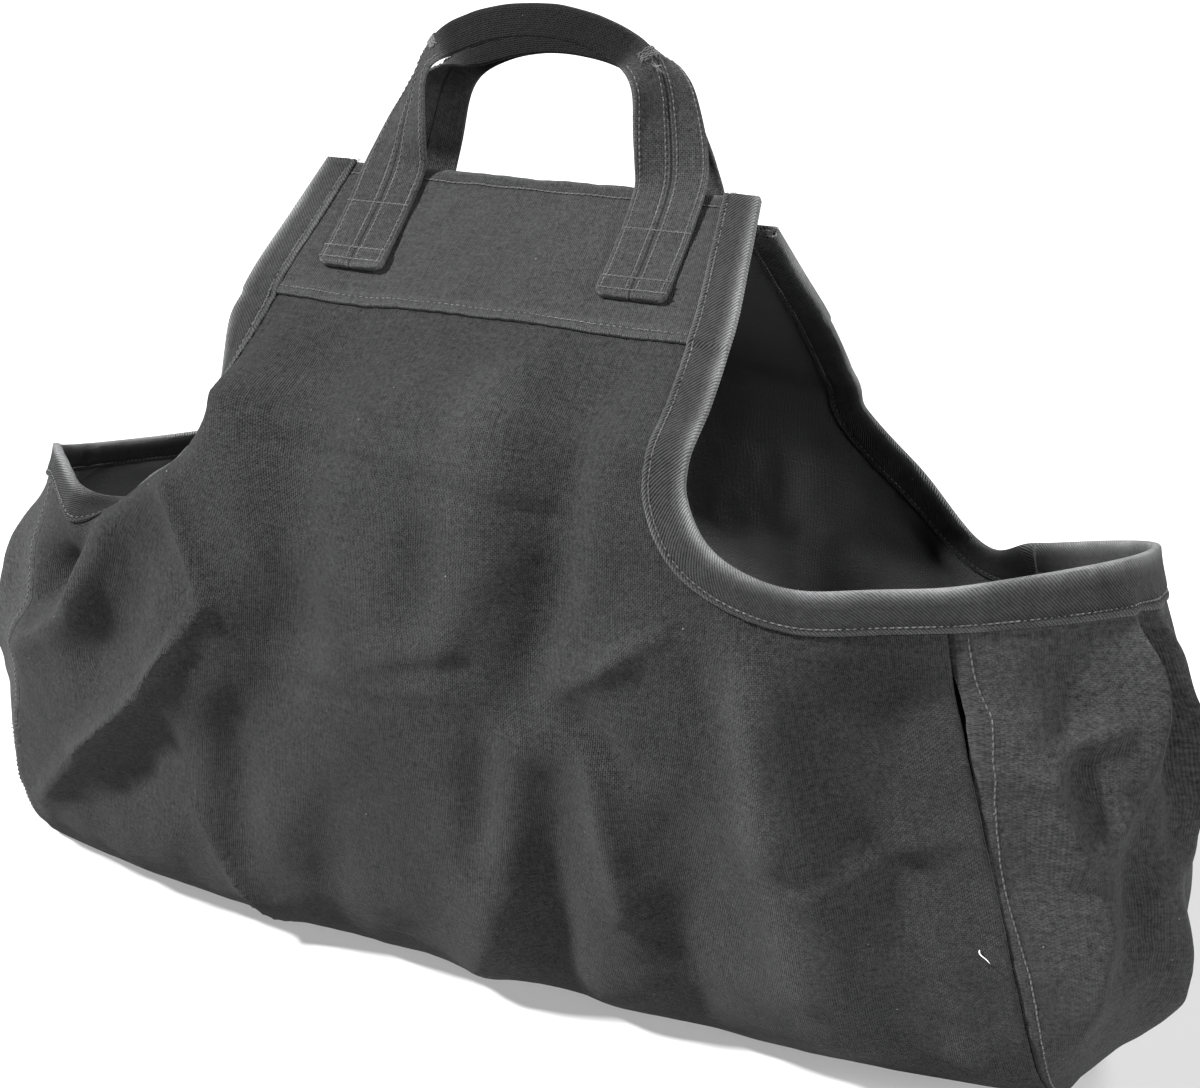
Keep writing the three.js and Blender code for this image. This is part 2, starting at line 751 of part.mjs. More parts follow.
// Middle line of a handle's outer face from one sewn foot to the other, with the direction its
// face looks and how far its halves are folded down.
function handlePath(wall) {
  const footX = wall.handleSpacing / 2;
  const onFlap = (side, [drop, lift]) => {
    const girth = wall.topGirth - drop;
    const halfWidth = wallPoint(wall, notchShare, girth).x;
    const across = notchShare * ((side * footX + wall.handleShift) / halfWidth);
    const face = plainNormal(wall, across, girth);
    const out = facingOut + seamGap + strapThickness * (1 + lift);
    return { point: wallPoint(wall, across, girth).addScaledVector(face, out), face, fold: 0 };
  };
  const sewn = [handleDrop, (handleDrop + handleStitchTop) / 2, handleStitchTop].map((drop) => [drop, 0]);
  const foot = [...sewn, [handleStitchTop / 2, handleLiftOff / 2], [0, handleLiftOff]];
  const edge = onFlap(1, foot.at(-1)).point;
  const onArch = (side, station) => {
    const turn = degToRad(station.turn);
    const lift = degToRad(station.lift);
    const x = side * footX * station.along + wall.handleShift;
    const y = wall.side * lerp(wall.gripDepth, Math.abs(edge.y), station.out);
    const z = lerp(edge.z, wall.handleHeight, station.up);
    const level = Math.cos(lift);
    const face = new THREE.Vector3(
      side * level * Math.sin(turn),
      wall.side * level * Math.cos(turn),
      Math.sin(lift),
    );
    return { point: new THREE.Vector3(x, y, z), face, fold: degToRad(station.fold) };
  };
  const half = (side) => [
    ...foot.map((place) => onFlap(side, place)),
    ...handleStations.map((station) => onArch(side, station)),
  ];
  return [...half(1), ...half(-1).slice(0, -1).reverse()];
}

function handle(wall) {
  const path = handlePath(wall);
  const knots = [0];
  for (let i = 1; i < path.length; i += 1) {
    knots.push(knots[i - 1] + path[i].point.distanceTo(path[i - 1].point));
  }
  const along = (values, at) => smooth(knots, values, at);
  const vectorAt = (key, at) => new THREE.Vector3(
    along(path.map((stop) => stop[key].x), at),
    along(path.map((stop) => stop[key].y), at),
    along(path.map((stop) => stop[key].z), at),
  );
  const length = knots.at(-1);
  const pairs = [];
  for (let step = 0; step <= handleSteps; step += 1) {
    const at = (length * step) / handleSteps;
    const centre = vectorAt('point', at);
    const ahead = vectorAt('point', Math.min(length, at + 1));
    const behind = vectorAt('point', Math.max(0, at - 1));
    const run = ahead.sub(behind).normalize();
    const width = run.clone().cross(vectorAt('face', at)).normalize();
    const face = width.clone().cross(run);
    const fold = along(path.map((stop) => stop.fold), at);
    const halves = [-1, 1].map((sign) => {
      const reach = width.clone().multiplyScalar(sign * Math.cos(fold)).addScaledVector(face, -Math.sin(fold));
      const normal = face.clone().multiplyScalar(Math.cos(fold)).addScaledVector(width, sign * Math.sin(fold));
      const rim = centre.clone().addScaledVector(reach, strapWidth / 2);
      return { rim, back: rim.clone().addScaledVector(normal, -strapThickness) };
    });
    const hinge = centre.clone().addScaledVector(face, -strapThickness / Math.cos(fold));
    pairs.push([halves[0].rim, halves[0].back], [centre, hinge], [halves[1].rim, halves[1].back]);
  }
  return shell(pairs, gridCells(handleSteps + 1, 3));
}

const canvas = new THREE.MeshStandardMaterial({ color: 0x3b3c3d, roughness: 0.95, metalness: 0 });
const gussetCanvas = new THREE.MeshStandardMaterial({ color: 0x424344, roughness: 0.95, metalness: 0 });
const tape = new THREE.MeshStandardMaterial({ color: 0x505152, roughness: 0.9, metalness: 0 });
const strap = new THREE.MeshStandardMaterial({ color: 0x464748, roughness: 0.92, metalness: 0 });

const group = new THREE.Group();

function addPiece(name, geometry, material) {
  const mesh = new THREE.Mesh(geometry, material);
  mesh.name = name;
  group.add(mesh);
}

addPiece('body_panel', bodyPanel(), canvas);
addPiece('end_gusset_left', endGusset(-1), gussetCanvas);
addPiece('end_gusset_right', endGusset(1), gussetCanvas);
addPiece('rim_tape_left', rimTape(-1), tape);
addPiece('rim_tape_right', rimTape(1), tape);
addPiece('top_facing_front', topFacing(walls.front), canvas);
addPiece('top_facing_back', topFacing(walls.back), canvas);
addPiece('handle_front', handle(walls.front), strap);
addPiece('handle_back', handle(walls.back), strap);

// The origin moves from the middle of the mouth to under the middle of the bag's box.
const middle = new THREE.Box3().setFromObject(group).getCenter(new THREE.Vector3());
for (const mesh of group.children) mesh.geometry.translate(-middle.x, -middle.y, 0);

export default group;
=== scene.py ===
# Looks for a canvas log carrier that stands open and empty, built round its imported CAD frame.
# Lengths are worked out in millimetres, in the frame whose origin lies under the middle of the
# bag's mouth, and become metres in the CAD frame when a mesh is made.
import math

import bpy
import numpy as np
from mathutils import Matrix, Vector


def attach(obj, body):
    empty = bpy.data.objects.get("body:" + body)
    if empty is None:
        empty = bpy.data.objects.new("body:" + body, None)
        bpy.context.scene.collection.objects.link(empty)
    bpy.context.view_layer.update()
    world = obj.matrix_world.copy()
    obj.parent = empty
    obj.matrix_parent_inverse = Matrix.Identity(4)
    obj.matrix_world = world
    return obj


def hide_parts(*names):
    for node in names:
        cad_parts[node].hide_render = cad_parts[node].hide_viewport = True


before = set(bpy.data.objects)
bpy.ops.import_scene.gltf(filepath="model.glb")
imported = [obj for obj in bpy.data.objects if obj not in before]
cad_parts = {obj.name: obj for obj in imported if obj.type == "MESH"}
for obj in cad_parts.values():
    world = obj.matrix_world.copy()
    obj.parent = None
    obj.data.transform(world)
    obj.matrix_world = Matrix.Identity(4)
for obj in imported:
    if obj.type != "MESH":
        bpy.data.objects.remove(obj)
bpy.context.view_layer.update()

METRES = 0.001
MOUTH_MIDDLE = np.array([-6.334, 1.13, 0.0])

# Camera: the photograph's, from the front right and a little above, with the same slight tilt.
camera_data = bpy.data.cameras.new("camera")
camera_data.sensor_width = 36.0
camera_data.lens = 55.6
camera_data.dof.use_dof = False
camera = bpy.data.objects.new("camera", camera_data)
bpy.context.collection.objects.link(camera)
camera_forward = Vector((-0.3762, 0.8748, -0.3053)).normalized()
camera_right = camera_forward.cross(Vector((-0.1562, 0.2649, 0.9515))).normalized()
camera_up = camera_right.cross(camera_forward)
camera_place = (np.array([397.0, -856.3, 523.0]) + MOUTH_MIDDLE) * METRES
camera_axes = Matrix((camera_right, camera_up, -camera_forward)).transposed()
camera.matrix_world = Matrix.Translation(Vector(camera_place)) @ camera_axes.to_4x4()
bpy.context.scene.camera = camera

# The long sheet: one length of heavy charcoal canvas that makes the front wall, the floor and
# the back wall, and narrows at mid length into a flap on each side. It is cut, folded and
# packed flat, so old creases and soft folds stay in it.
SHEET_THICK = 1.5
MOUTH_HALF = 237.0
FLOOR_HALF = 314.0
NOTCH = 254 / 474
FLAP_FOOT_HALF = 127.0
FLAP_TOP_HALF = 116.0
TAPE_WIDTH = 18.5
FACING_HEIGHT = 84.0
NOTCH_RISE = 34.0
RIM_DIP = 28.0

SECTION_COLUMNS = ("out", "up", "along", "end_out", "end_up", "round")
SECTIONS = [
    (0, 0, 1, 0, 0, 2),
    (0.395, 0, 0.87, 0.41, 0, 4),
    (0.646, 0.055, 0.78, 0.6, 0.064, 4),
    (0.823, 0.204, 0.69, 0.82, 0.21, 4),
    (0.939, 0.456, 0.49, 0.955, 0.468, 4),
    (1, 0.748, 0.22, 1, 0.76, 5),
    (1, 1, 0, 0.987, 1, 6),
]
FLAP_COLUMNS = ("lean", "up", "width")
FLAP_SECTIONS = [
    (0.073, 0.29, 0.95),
    (0.27, 0.44, 1),
    (0.51, 0.625, 0.9),
    (0.787, 0.835, 0.42),
    (1, 1, 0),
]
RIM_SECTION = len(SECTIONS) - 1

WALLS = {
    "front": dict(side=-1, depth=147, end_depth=110, rim=274, rim_end=267, flap=414, flap_top=33),
    "back": dict(side=1, depth=145, end_depth=104, rim=246, rim_end=236, flap=396, flap_top=-3),
}
# rise, fade, dip, dip_at and dip_spread of the cut beside each notch, by wall and side.
RIM_FORMS = {
    ("front", -1): (0.9, 0.05, 0.85, 0.8, 0.12),
    ("front", 1): (0.9, 0.045, 0.2, 0.75, 0.12),
    ("back", -1): (1, 0.1, 0.6, 0.84, 0.12),
    ("back", 1): (1.15, 0.12, 1, 0.86, 0.12),
}


def mix(a, b, share):
    """a + (b - a) * share."""
    return a + (b - a) * share


def ease(value, low, high):
    """3t^2 - 2t^3 for t from 0 at low to 1 at high."""
    t = np.clip((value - low) / (high - low), 0, 1)
    return t * t * (3 - 2 * t)


def unit(vectors):
    """v / |v|."""
    return vectors / np.maximum(np.linalg.norm(vectors, axis=-1, keepdims=True), 1e-12)


def smooth_curve(knots, values, at):
    """Hermite curve through values at knots. Each slope is the harmonic mean 2ab / (a + b) of
    the secants beside it, or 0 where they turn, so the curve never overshoots."""
    spans = np.diff(knots)
    secant = np.diff(values, axis=0) / spans.reshape(-1, *[1] * (values.ndim - 1))
    slope = np.zeros_like(values)
    slope[0], slope[-1] = secant[0], secant[-1]
    before, after = secant[:-1], secant[1:]
    same = before * after > 0
    slope[1:-1] = np.where(same, 2 * before * after / np.where(same, before + after, 1), 0)
    i = np.clip(np.searchsorted(knots, at) - 1, 0, len(knots) - 2)
    t = np.clip((at - knots[i]) / spans[i], 0, 1)
    span = spans[i]
    if values.ndim > 1:
        shape = t.shape + (1,) * (values.ndim - 2)
        pick = (i, np.arange(len(t))) if values.shape[1:2] == t.shape else (i,)
        if values.ndim == 2:
            shape = t.shape + (1,)
            pick = (i,)
        t, span = t.reshape(shape), span.reshape(shape)
    else:
        pick = (i,)
    nxt = (pick[0] + 1,) + pick[1:]
    rest = 1 - t
    return rest * rest * ((1 + 2 * t) * values[pick] + t * span * slope[pick]) + t * t * (
        (3 - 2 * t) * values[nxt] - rest * span * slope[nxt]
    )


def section_points(wall, across):
    """Where columns of a wall pass its sections, across being -1 to 1: outwards
    depth * out * (1 - |a|^round) + end depth * end out * |a|^round, and so on upwards."""
    share = np.abs(across)
    rows = []
    for out, up, along, end_out, end_up, rounding in SECTIONS:
        y = mix(wall["depth"] * out, wall["end_depth"] * end_out, share**rounding)
        z = mix(wall["rim"] * up, wall["rim_end"] * end_up, share**3)
        rows.append(np.stack([across * mix(MOUTH_HALF, FLOOR_HALF, along), wall["side"] * y, z], -1))
    for lean, up, width in FLAP_SECTIONS:
        x = across / NOTCH * mix(FLAP_TOP_HALF, FLAP_FOOT_HALF, width)
        y = np.full_like(across, wall["side"] * mix(wall["depth"], wall["flap_top"], lean))
        z = np.full_like(across, mix(wall["rim"], wall["flap"], up))
        rows.append(np.stack([x, y, z], -1))
    return np.stack(rows)


for wall in WALLS.values():
    middle_line = section_points(wall, np.zeros(1))[:, 0]
    steps = np.linalg.norm(np.diff(middle_line, axis=0), axis=1)
    wall["girths"] = np.concatenate([[0], np.cumsum(steps)])
    wall["rim_girth"] = wall["girths"][RIM_SECTION]
    wall["top_girth"] = wall["girths"][-1]


def cut_girth(name, across):
    """Length of cloth from the floor's middle to the cut rim: the rim's girth, plus a rise at the
    flap's foot that fades as exp((notch - |a|) / fade), less a dip exp(-((|a| - at) / spread)^2)."""
    wall = WALLS[name]
    share = np.abs(across)
    total = 0
    for side in (-1, 1):
        rise, fade, dip, dip_at, spread = RIM_FORMS[name, side]
        notch = np.where(share > NOTCH, np.exp(-(share - NOTCH) / fade), (share / NOTCH) ** 6)
        sag = np.exp(-(((share - dip_at) / spread) ** 2))
        form = wall["rim_girth"] + NOTCH_RISE * rise * notch - RIM_DIP * dip * sag
        total = total + form * (across < 0 if side < 0 else across >= 0)
    return total


def plain_wall(name, across, girth):
    """Smooth surface of a wall: the Hermite curve through its sections, along the girth."""
    wall = WALLS[name]
    return smooth_curve(wall["girths"], section_points(wall, across), girth)


def plain_normal(name, across, girth):
    """Unit cross product of the surface's two slopes, pointing out of the bag."""
    a = np.clip(across, -0.996, 0.996)
    g = np.maximum(girth, 1.0)
    along = plain_wall(name, a + 0.004, g) - plain_wall(name, a - 0.004, g)
    up = plain_wall(name, a, g + 1) - plain_wall(name, a, g - 1)
    return unit(np.cross(along, up) * -WALLS[name]["side"])


# Folds and creases as straight runs on the flat cloth: from and to as share of the half length
# and millimetres of girth, then half width in mm, height in mm (negative is a crease) and
# crispness, 0 for a soft round fold to 1 for a sharp one.
FOLD_COLUMNS = ("wall", "a0", "g0", "a1", "g1", "spread", "height", "crisp")
FOLDS = [
    ("front", -0.53, 405, -0.68, 351, 11, 8.1, 0.3),
    ("front", -0.68, 351, -0.8, 287, 11, 12.2, 0.4),
    ("front", -0.8, 287, -1.0, 240, 12, 12.2, 0.5),
    ("front", -0.8, 338, -0.95, 268, 14, -17.6, 0.0),
    ("front", -0.6, 320, -0.74, 255, 16, -8.1, 0.0),
    ("front", -0.55, 353, -0.47, 303, 6, 7.1, 0.9),
    ("front", -0.47, 303, -0.63, 239, 7, 9.5, 0.9),
    ("front", -0.63, 239, -0.78, 195, 7, 9.5, 0.9),
    ("front", -0.78, 195, -0.93, 139, 8, 6.8, 0.5),
    ("front", -0.55, 215, -0.74, 150, 18, -8.1, 0.0),
    ("front", -0.27, 480, -0.28, 300, 24, -12.2, 0.0),
    ("front", -0.28, 300, -0.38, 215, 22, -10.8, 0.0),
    ("front", -0.05, 460, -0.12, 250, 34, 6.8, 0.0),
    ("front", 0.14, 470, 0.12, 345, 18, 8.1, 0.1),
    ("front", 0.12, 345, 0.04, 290, 16, 6.8, 0.1),
    ("front", 0.31, 450, 0.29, 345, 17, -9.5, 0.0),
    ("front", 0.29, 345, 0.2, 285, 15, -8.1, 0.0),
    ("front", 0.44, 430, 0.42, 345, 18, 6.8, 0.0),
    ("front", 0.53, 400, 0.66, 330, 11, 8.1, 0.3),
    ("front", 0.66, 330, 0.66, 240, 13, 14.9, 0.2),
    ("front", 0.66, 240, 0.7, 130, 18, 10.8, 0.0),
    ("front", 0.88, 345, 0.9, 150, 30, -17.6, 0.0),
    ("front", 0.74, 250, 0.92, 215, 7, -4.1, 0.3),
    ("front", 0.7, 215, 0.95, 245, 8, 4.1, 0.3),
    ("front", -0.36, 388, 0.0, 386, 4, -2.9, 0.8),
    ("front", 0.0, 386, 0.27, 375, 4, -3.0, 0.8),
    ("front", 0.27, 375, 0.5, 381, 4, -2.4, 0.8),
    ("front", -0.34, 398, 0.27, 386, 9, 2, 0.2),
    ("front", -0.34, 263, 0.03, 276, 4, -2.4, 0.8),
    ("front", -0.3, 275, 0.03, 288, 8, 1.5, 0.2),
    ("front", -0.1, 283, 0.1, 298, 7, -4.7, 0.2),
    ("front", 0.3, 297, 0.5, 333, 8, 7.6, 0.8),
    ("front", 0.31, 286, 0.4, 262, 9, -8.1, 0.2),
    ("front", 0.34, 272, 0.37, 180, 8, 8.1, 0.4),
    ("front", 0.14, 262, 0.1, 190, 11, -6.8, 0.1),
    ("front", 0.2, 262, 0.02, 60, 14, 6.8, 0.1),
    ("front", 0.27, 240, 0.2, 90, 14, -8.1, 0.0),
    ("front", 0.5, 230, 0.44, 90, 18, -8.1, 0.0),
    ("front", -0.42, 235, -0.4, 155, 14, -8.1, 0.1),
    ("front", -0.48, 171, -0.36, 92, 7, 7.1, 0.9),
    ("front", -0.2, 200, -0.24, 100, 14, -5.4, 0.0),
    ("front", 0.88, 250, 0.93, 90, 11, 5.4, 0.2),
    ("back", 0.55, 400, 0.78, 220, 15, 9.5, 0.1),
    ("back", -0.55, 400, -0.8, 220, 15, 9.5, 0.1),
    ("back", -0.3, 385, 0.32, 378, 5, -1.8, 0.6),
    ("back", -0.32, 270, 0.2, 262, 5, -1.5, 0.6),
    ("back", 0.1, 450, 0.04, 200, 30, 8.1, 0.0),
    ("back", -0.3, 440, -0.34, 180, 26, -8.1, 0.0),
    ("back", 0.4, 330, 0.3, 120, 16, -6.8, 0.1),
    ("back", -0.1, 200, -0.2, 90, 16, 6.8, 0.1),
]


def fold_height(name, x, girth):
    """Sum over the folds of height * swell * exp(-d / spread) blended with exp(-(d / spread)^2),
    d being the distance on the flat cloth from the fold's run."""
    height = np.zeros_like(x)
    for wall, a0, g0, a1, g1, spread, rise, crisp in FOLDS:
        if wall != name:
            continue
        start = np.array([a0 * MOUTH_HALF, g0])
        run = np.array([a1 * MOUTH_HALF, g1]) - start
        at = np.stack([x, girth], -1) - start
        t = np.clip(at @ run / (run @ run), 0, 1)
        d = np.linalg.norm(at - t[..., None] * run, axis=-1) / spread
        swell = 0.55 + 0.45 * np.sin(np.pi * t)
        height += rise * swell * mix(np.exp(-d * d), np.exp(-d), crisp)
    return height


def ripple(x, y, seed, waves=26, long=150, short=26, steep=0.7):
    """Soft undulation: a sum of cosines whose height grows with their wavelength, and whose
    crests mostly run up the cloth."""
    rng = np.random.default_rng(seed)
    total = np.zeros_like(x)
    for _ in range(waves):
        wavelength = short * (long / short) ** rng.random()
        angle = rng.normal(0, steep)
        phase = rng.random() * 2 * np.pi
        turn = (x * math.cos(angle) + y * math.sin(angle)) * 2 * np.pi / wavelength
        total += wavelength * np.cos(turn + phase)
    return total / (long * math.sqrt(waves))


def pucker(run, distance, pitch, height, reach, seed):
    """Ripples of a pulled seam: height * sin(2 pi run / pitch + drift) * exp(-distance / reach)."""
    drift = 2.2 * ripple(run, run * 0, seed, 8, 90, 20)
    return height * np.sin(2 * np.pi * run / pitch + 6 * drift) * np.exp(-distance / reach)


def wall_height(name, across, girth):
    """Everything that lifts a wall's cloth: folds, undulation and puckered seams, in mm."""
    wall = WALLS[name]
    x = across * MOUTH_HALF
    from_edge = np.maximum(cut_girth(name, across) - girth, (NOTCH - np.abs(across)) * MOUTH_HALF)
    from_end = (1 - np.abs(across)) * MOUTH_HALF
    seed = 11 if name == "front" else 37
    inside = ease(from_edge, TAPE_WIDTH, 55)
    lifted = ease(girth, 60, 120)
    calm = mix(0.2, 1, ease(wall["top_girth"] - girth, 75, 130))
    height = fold_height(name, x, girth) * inside * lifted * calm
    height += 2.6 * ripple(x, girth, seed) * mix(0.15, 1, ease(from_edge, 10, 70)) * lifted * calm
    height += 0.5 * ripple(x, girth, seed + 1, 30, 30, 9, 1.2) * inside * lifted
    height += pucker(girth, from_end, 13, 0.6, 7, seed + 2) * lifted * ease(from_end, 0, 6)
    tape_gap = np.abs(from_edge - TAPE_WIDTH)
    height += pucker(x + girth, tape_gap, 8, 0.28, 5, seed + 3) * lifted
    facing_gap = np.abs(girth - wall["top_girth"] + FACING_HEIGHT)
    height += pucker(x, facing_gap, 9, 0.35, 6, seed + 4)
    return height


def spaced(line, *others, pitch):
    """A line resampled every pitch mm of its own length, with other rows of values beside it."""
    length = np.concatenate([[0], np.cumsum(np.linalg.norm(np.diff(line, axis=0), axis=1))])
    at = np.arange(pitch / 2, length[-1], pitch)
    return [np.stack([np.interp(at, length, col) for col in rows.T], -1) for rows in (line, *others)]


def soften(values, sigma):
    """Each column of values averaged along the rows with a bell of that many rows."""
    reach = int(3 * sigma) + 1
    bell = np.exp(-0.5 * (np.arange(-reach, reach + 1) / sigma) ** 2)
    padded = np.pad(values.reshape(len(values), -1), ((reach, reach), (0, 0)), mode="edge")
    out = np.stack([np.convolve(col, bell / bell.sum(), "valid") for col in padded.T], -1)
    return out.reshape(values.shape)


def cut_run(name, side, pitch):
    """The cut edge on the flat cloth, from the flap's top to the end seam, as (x, girth)."""
    corner = cut_girth(name, np.array([side * NOTCH]))[0]
    down = np.linspace(WALLS[name]["top_girth"], corner, 200)
    a = side * np.linspace(NOTCH, 1, 300)[1:]
    run = np.concatenate(
        [
            np.stack([np.full_like(down, side * NOTCH * MOUTH_HALF), down], -1),
            np.stack([a * MOUTH_HALF, cut_girth(name, a)], -1),
        ]
    )
    return spaced(run, pitch=pitch)[0]


# One notch rolls back, the front wall's left one: the cloth runs
# on past its margin, turns by a quarter circle and leads its binding into the bag.
ROLL_MARGIN = 70.0
ROLL_FLAT = 55.0
ROLL_RADIUS = 12.7
ROLL_TURNED = ROLL_FLAT + ROLL_RADIUS * np.pi / 2
ROLLS = {
    "front": dict(side=-1, girths=(400, 460), shares=(0.76, 0.88)),
}
for name, roll in ROLLS.items():
    roll["run"] = cut_run(name, roll["side"], 1.5)
    tangent = unit(soften(np.gradient(roll["run"], axis=0), 9))
    roll["outward"] = -roll["side"] * np.stack([tangent[:, 1], -tangent[:, 0]], -1)


def rolled_back(name, a, g, point, normal):
    """Moves a wall's cloth beside its rolled notch onto a flat run, a quarter circle and a flat
    run into the bag, and turns its normals along."""
    roll = ROLLS[name]
    share = (1 - ease(g, *roll["girths"])) * (1 - ease(a * roll["side"], *roll["shares"]))
    picked = np.flatnonzero((share > 0) & (a * roll["side"] > 0.1) & (g > 230))
    place = np.stack([a * MOUTH_HALF, g], -1)[picked]
    gaps = np.linalg.norm(place[:, None] - roll["run"][None], axis=-1)
    nearest = gaps.argmin(axis=1)
    edge = gaps[np.arange(len(picked)), nearest]
    picked, nearest, edge = (rows[edge < ROLL_MARGIN] for rows in (picked, nearest, edge))
    a, g, share = a[picked], g[picked], share[picked]
    far = np.maximum(edge - TAPE_WIDTH, 0) / (ROLL_MARGIN - TAPE_WIDTH)
    along = ROLL_TURNED * (1 - far) + np.maximum(TAPE_WIDTH - edge, 0)
    turn = np.clip((along - ROLL_FLAT) / ROLL_RADIUS, 0, np.pi / 2)
    out = np.minimum(along, ROLL_FLAT) + ROLL_RADIUS * np.sin(turn)
    deep = ROLL_RADIUS * (1 - np.cos(turn)) + np.maximum(along - ROLL_TURNED, 0)
    side_way = unit(plain_wall(name, a + 0.004, g) - plain_wall(name, a - 0.004, g))
    up_way = unit(plain_wall(name, a, g + 1) - plain_wall(name, a, g - 1))
    flat_way = roll["outward"][nearest]
    way = unit(side_way * flat_way[:, :1] + up_way * flat_way[:, 1:])
    moved = way * (out - (ROLL_MARGIN - edge))[:, None] - normal[picked] * deep[:, None]
    turn = (turn * share)[:, None]
    point[picked] += moved * share[:, None]
    normal[picked] = normal[picked] * np.cos(turn) + way * np.sin(turn)
    return point, normal


def wall_surface(name, across, girth):
    """Outer face of the cloth and its outward direction at places on a wall."""
    shape = np.broadcast(across, girth).shape
    a = np.broadcast_to(across, shape).ravel().astype(float)
    g = np.broadcast_to(girth, shape).ravel().astype(float)
    normal = plain_normal(name, a, g)
    point = plain_wall(name, a, g) + normal * wall_height(name, a, g)[:, None]
    if name in ROLLS:
        point, normal = rolled_back(name, a, g, point, normal)
    return point.reshape(*shape, 3), normal.reshape(*shape, 3)


def grid_normals(points):
    """Unit cross product of the differences along a grid's rows and columns."""
    return unit(np.cross(np.gradient(points, axis=1), np.gradient(points, axis=0)))


def grid_faces(rows, columns, keep=None):
    """Four corners of each cell of a grid, counter-clockwise from its first corner."""
    start = np.arange(rows * columns).reshape(rows, columns)
    cells = np.stack([start[:-1, :-1], start[:-1, 1:], start[1:, 1:], start[1:, :-1]], -1)
    return cells.reshape(-1, 4) if keep is None else cells[keep]


def free_edges(faces):
    """Edges, as ordered pairs, that only one face has."""
    pairs = np.concatenate([np.stack([faces[:, k], faces[:, (k + 1) % 4]], -1) for k in range(4)])
    size = int(pairs.max()) + 1
    key = pairs[:, 0] * size + pairs[:, 1]
    twin = pairs[:, 1] * size + pairs[:, 0]
    return pairs[~np.isin(key, twin)]


def add_mesh(name, points, faces, material, slot, uv=None, masks=None, smooth=True):
    """A mesh object that rides on the bag, from points in mm and four-cornered faces."""
    used, faces = np.unique(faces, return_inverse=True)
    faces = faces.reshape(-1, 4)
    mesh = bpy.data.meshes.new(name)
    mesh.vertices.add(len(used))
    mesh.vertices.foreach_set("co", ((points[used] + MOUTH_MIDDLE) * METRES).ravel())
    mesh.loops.add(faces.size)
    mesh.loops.foreach_set("vertex_index", faces.ravel())
    mesh.polygons.add(len(faces))
    mesh.polygons.foreach_set("loop_start", np.arange(0, faces.size, 4))
    if uv is not None:
        layer = mesh.uv_layers.new(name="cloth")
        layer.data.foreach_set("uv", (uv[used] * METRES)[faces].ravel())
    for key, values in (masks or {}).items():
        mesh.attributes.new(key, "FLOAT", "POINT").data.foreach_set("value", values[used])
    mesh.update(calc_edges=True)
    mesh.validate()
    mesh.polygons.foreach_set("use_smooth", np.full(len(mesh.polygons), smooth))
    mesh.materials.append(material)
    made = bpy.data.objects.new(name, mesh)
    bpy.context.collection.objects.link(made)
    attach(made, "root")
    return made


def add_shell(name, outer, inner, faces, material, slot, uv, masks=None, shade=1.0, painted_inner_shade=None):
    """A closed sheet from its outer and inner layer, free edges joined by a strip. The mask "inside" is 0
    on the outer layer and shade on the inner one, where it paints the cloth paler as painted light
    inside the bag. A painted shade for the inner layer, where given, goes into its darkening mask."""
    both = np.concatenate([outer.reshape(-1, 3), inner.reshape(-1, 3)])
    count = len(both) // 2
    edge = free_edges(faces)
    strip = np.stack([edge[:, 1], edge[:, 0], edge[:, 0] + count, edge[:, 1] + count], -1)
    every = np.concatenate([faces, faces[:, ::-1] + count, strip])
    layers = {key: np.tile(value.ravel(), 2) for key, value in (masks or {}).items()}
    layers["inside"] = np.repeat([0.0, shade], count)
    if painted_inner_shade is not None:
        layers["painted_shade_and_darkening"] = np.concatenate([np.zeros(count), painted_inner_shade.ravel()])
    return add_mesh(name, both, every, material, slot, np.tile(uv.reshape(-1, 2), (2, 1)), layers)


# Dyed cotton: shader groups for the weave of the canvas, the twill of the binding, and the mottling,
# raised fibre and lint that all the cloth shares.
def new_group(name, inputs, outputs):
    """An empty shader node group with named sockets, each input as (name, type, default)."""
    tree = bpy.data.node_groups.new(name, "ShaderNodeTree")
    for label, kind, default in inputs:
        socket = tree.interface.new_socket(name=label, in_out="INPUT", socket_type=kind)
        if default is not None:
            socket.default_value = default
    for label, kind in outputs:
        tree.interface.new_socket(name=label, in_out="OUTPUT", socket_type=kind)
    return tree, tree.nodes.new("NodeGroupInput"), tree.nodes.new("NodeGroupOutput")


def feed(tree, socket, value):
    """Links a socket to value, or sets it where value is a number or a colour."""
    if isinstance(value, bpy.types.NodeSocket):
        tree.links.new(value, socket)
    else:
        socket.default_value = value


def calc(tree, operation, *values, clamp=False):
    """A math node's result."""
    made = tree.nodes.new("ShaderNodeMath")
    made.operation = operation
    made.use_clamp = clamp
    for socket, value in zip(made.inputs, values):
        feed(tree, socket, value)
    return made.outputs[0]


def noise(tree, vector, scale, detail=2.0, rough=0.5):
    """A noise texture's value, from 0 to 1."""
    made = tree.nodes.new("ShaderNodeTexNoise")
    made.inputs["Scale"].default_value = scale
    made.inputs["Detail"].default_value = detail
    made.inputs["Roughness"].default_value = rough
    feed(tree, made.inputs["Vector"], vector)
    return made.outputs["Fac"]


def remap(tree, value, low, high, to_low=0.0, to_high=1.0):
    """value mapped from low..high to to_low..to_high, and kept between them."""
    made = tree.nodes.new("ShaderNodeMapRange")
    for socket, setting in zip(made.inputs, (value, low, high, to_low, to_high)):
        feed(tree, socket, setting)
    return made.outputs[0]


def stretch(tree, u, v, factor_u, factor_v):
    """The vector (u * factor_u, v * factor_v, 0)."""
    made = tree.nodes.new("ShaderNodeCombineXYZ")
    feed(tree, made.inputs[0], calc(tree, "MULTIPLY", u, factor_u))
    feed(tree, made.inputs[1], calc(tree, "MULTIPLY", v, factor_v))
    return made.outputs[0]


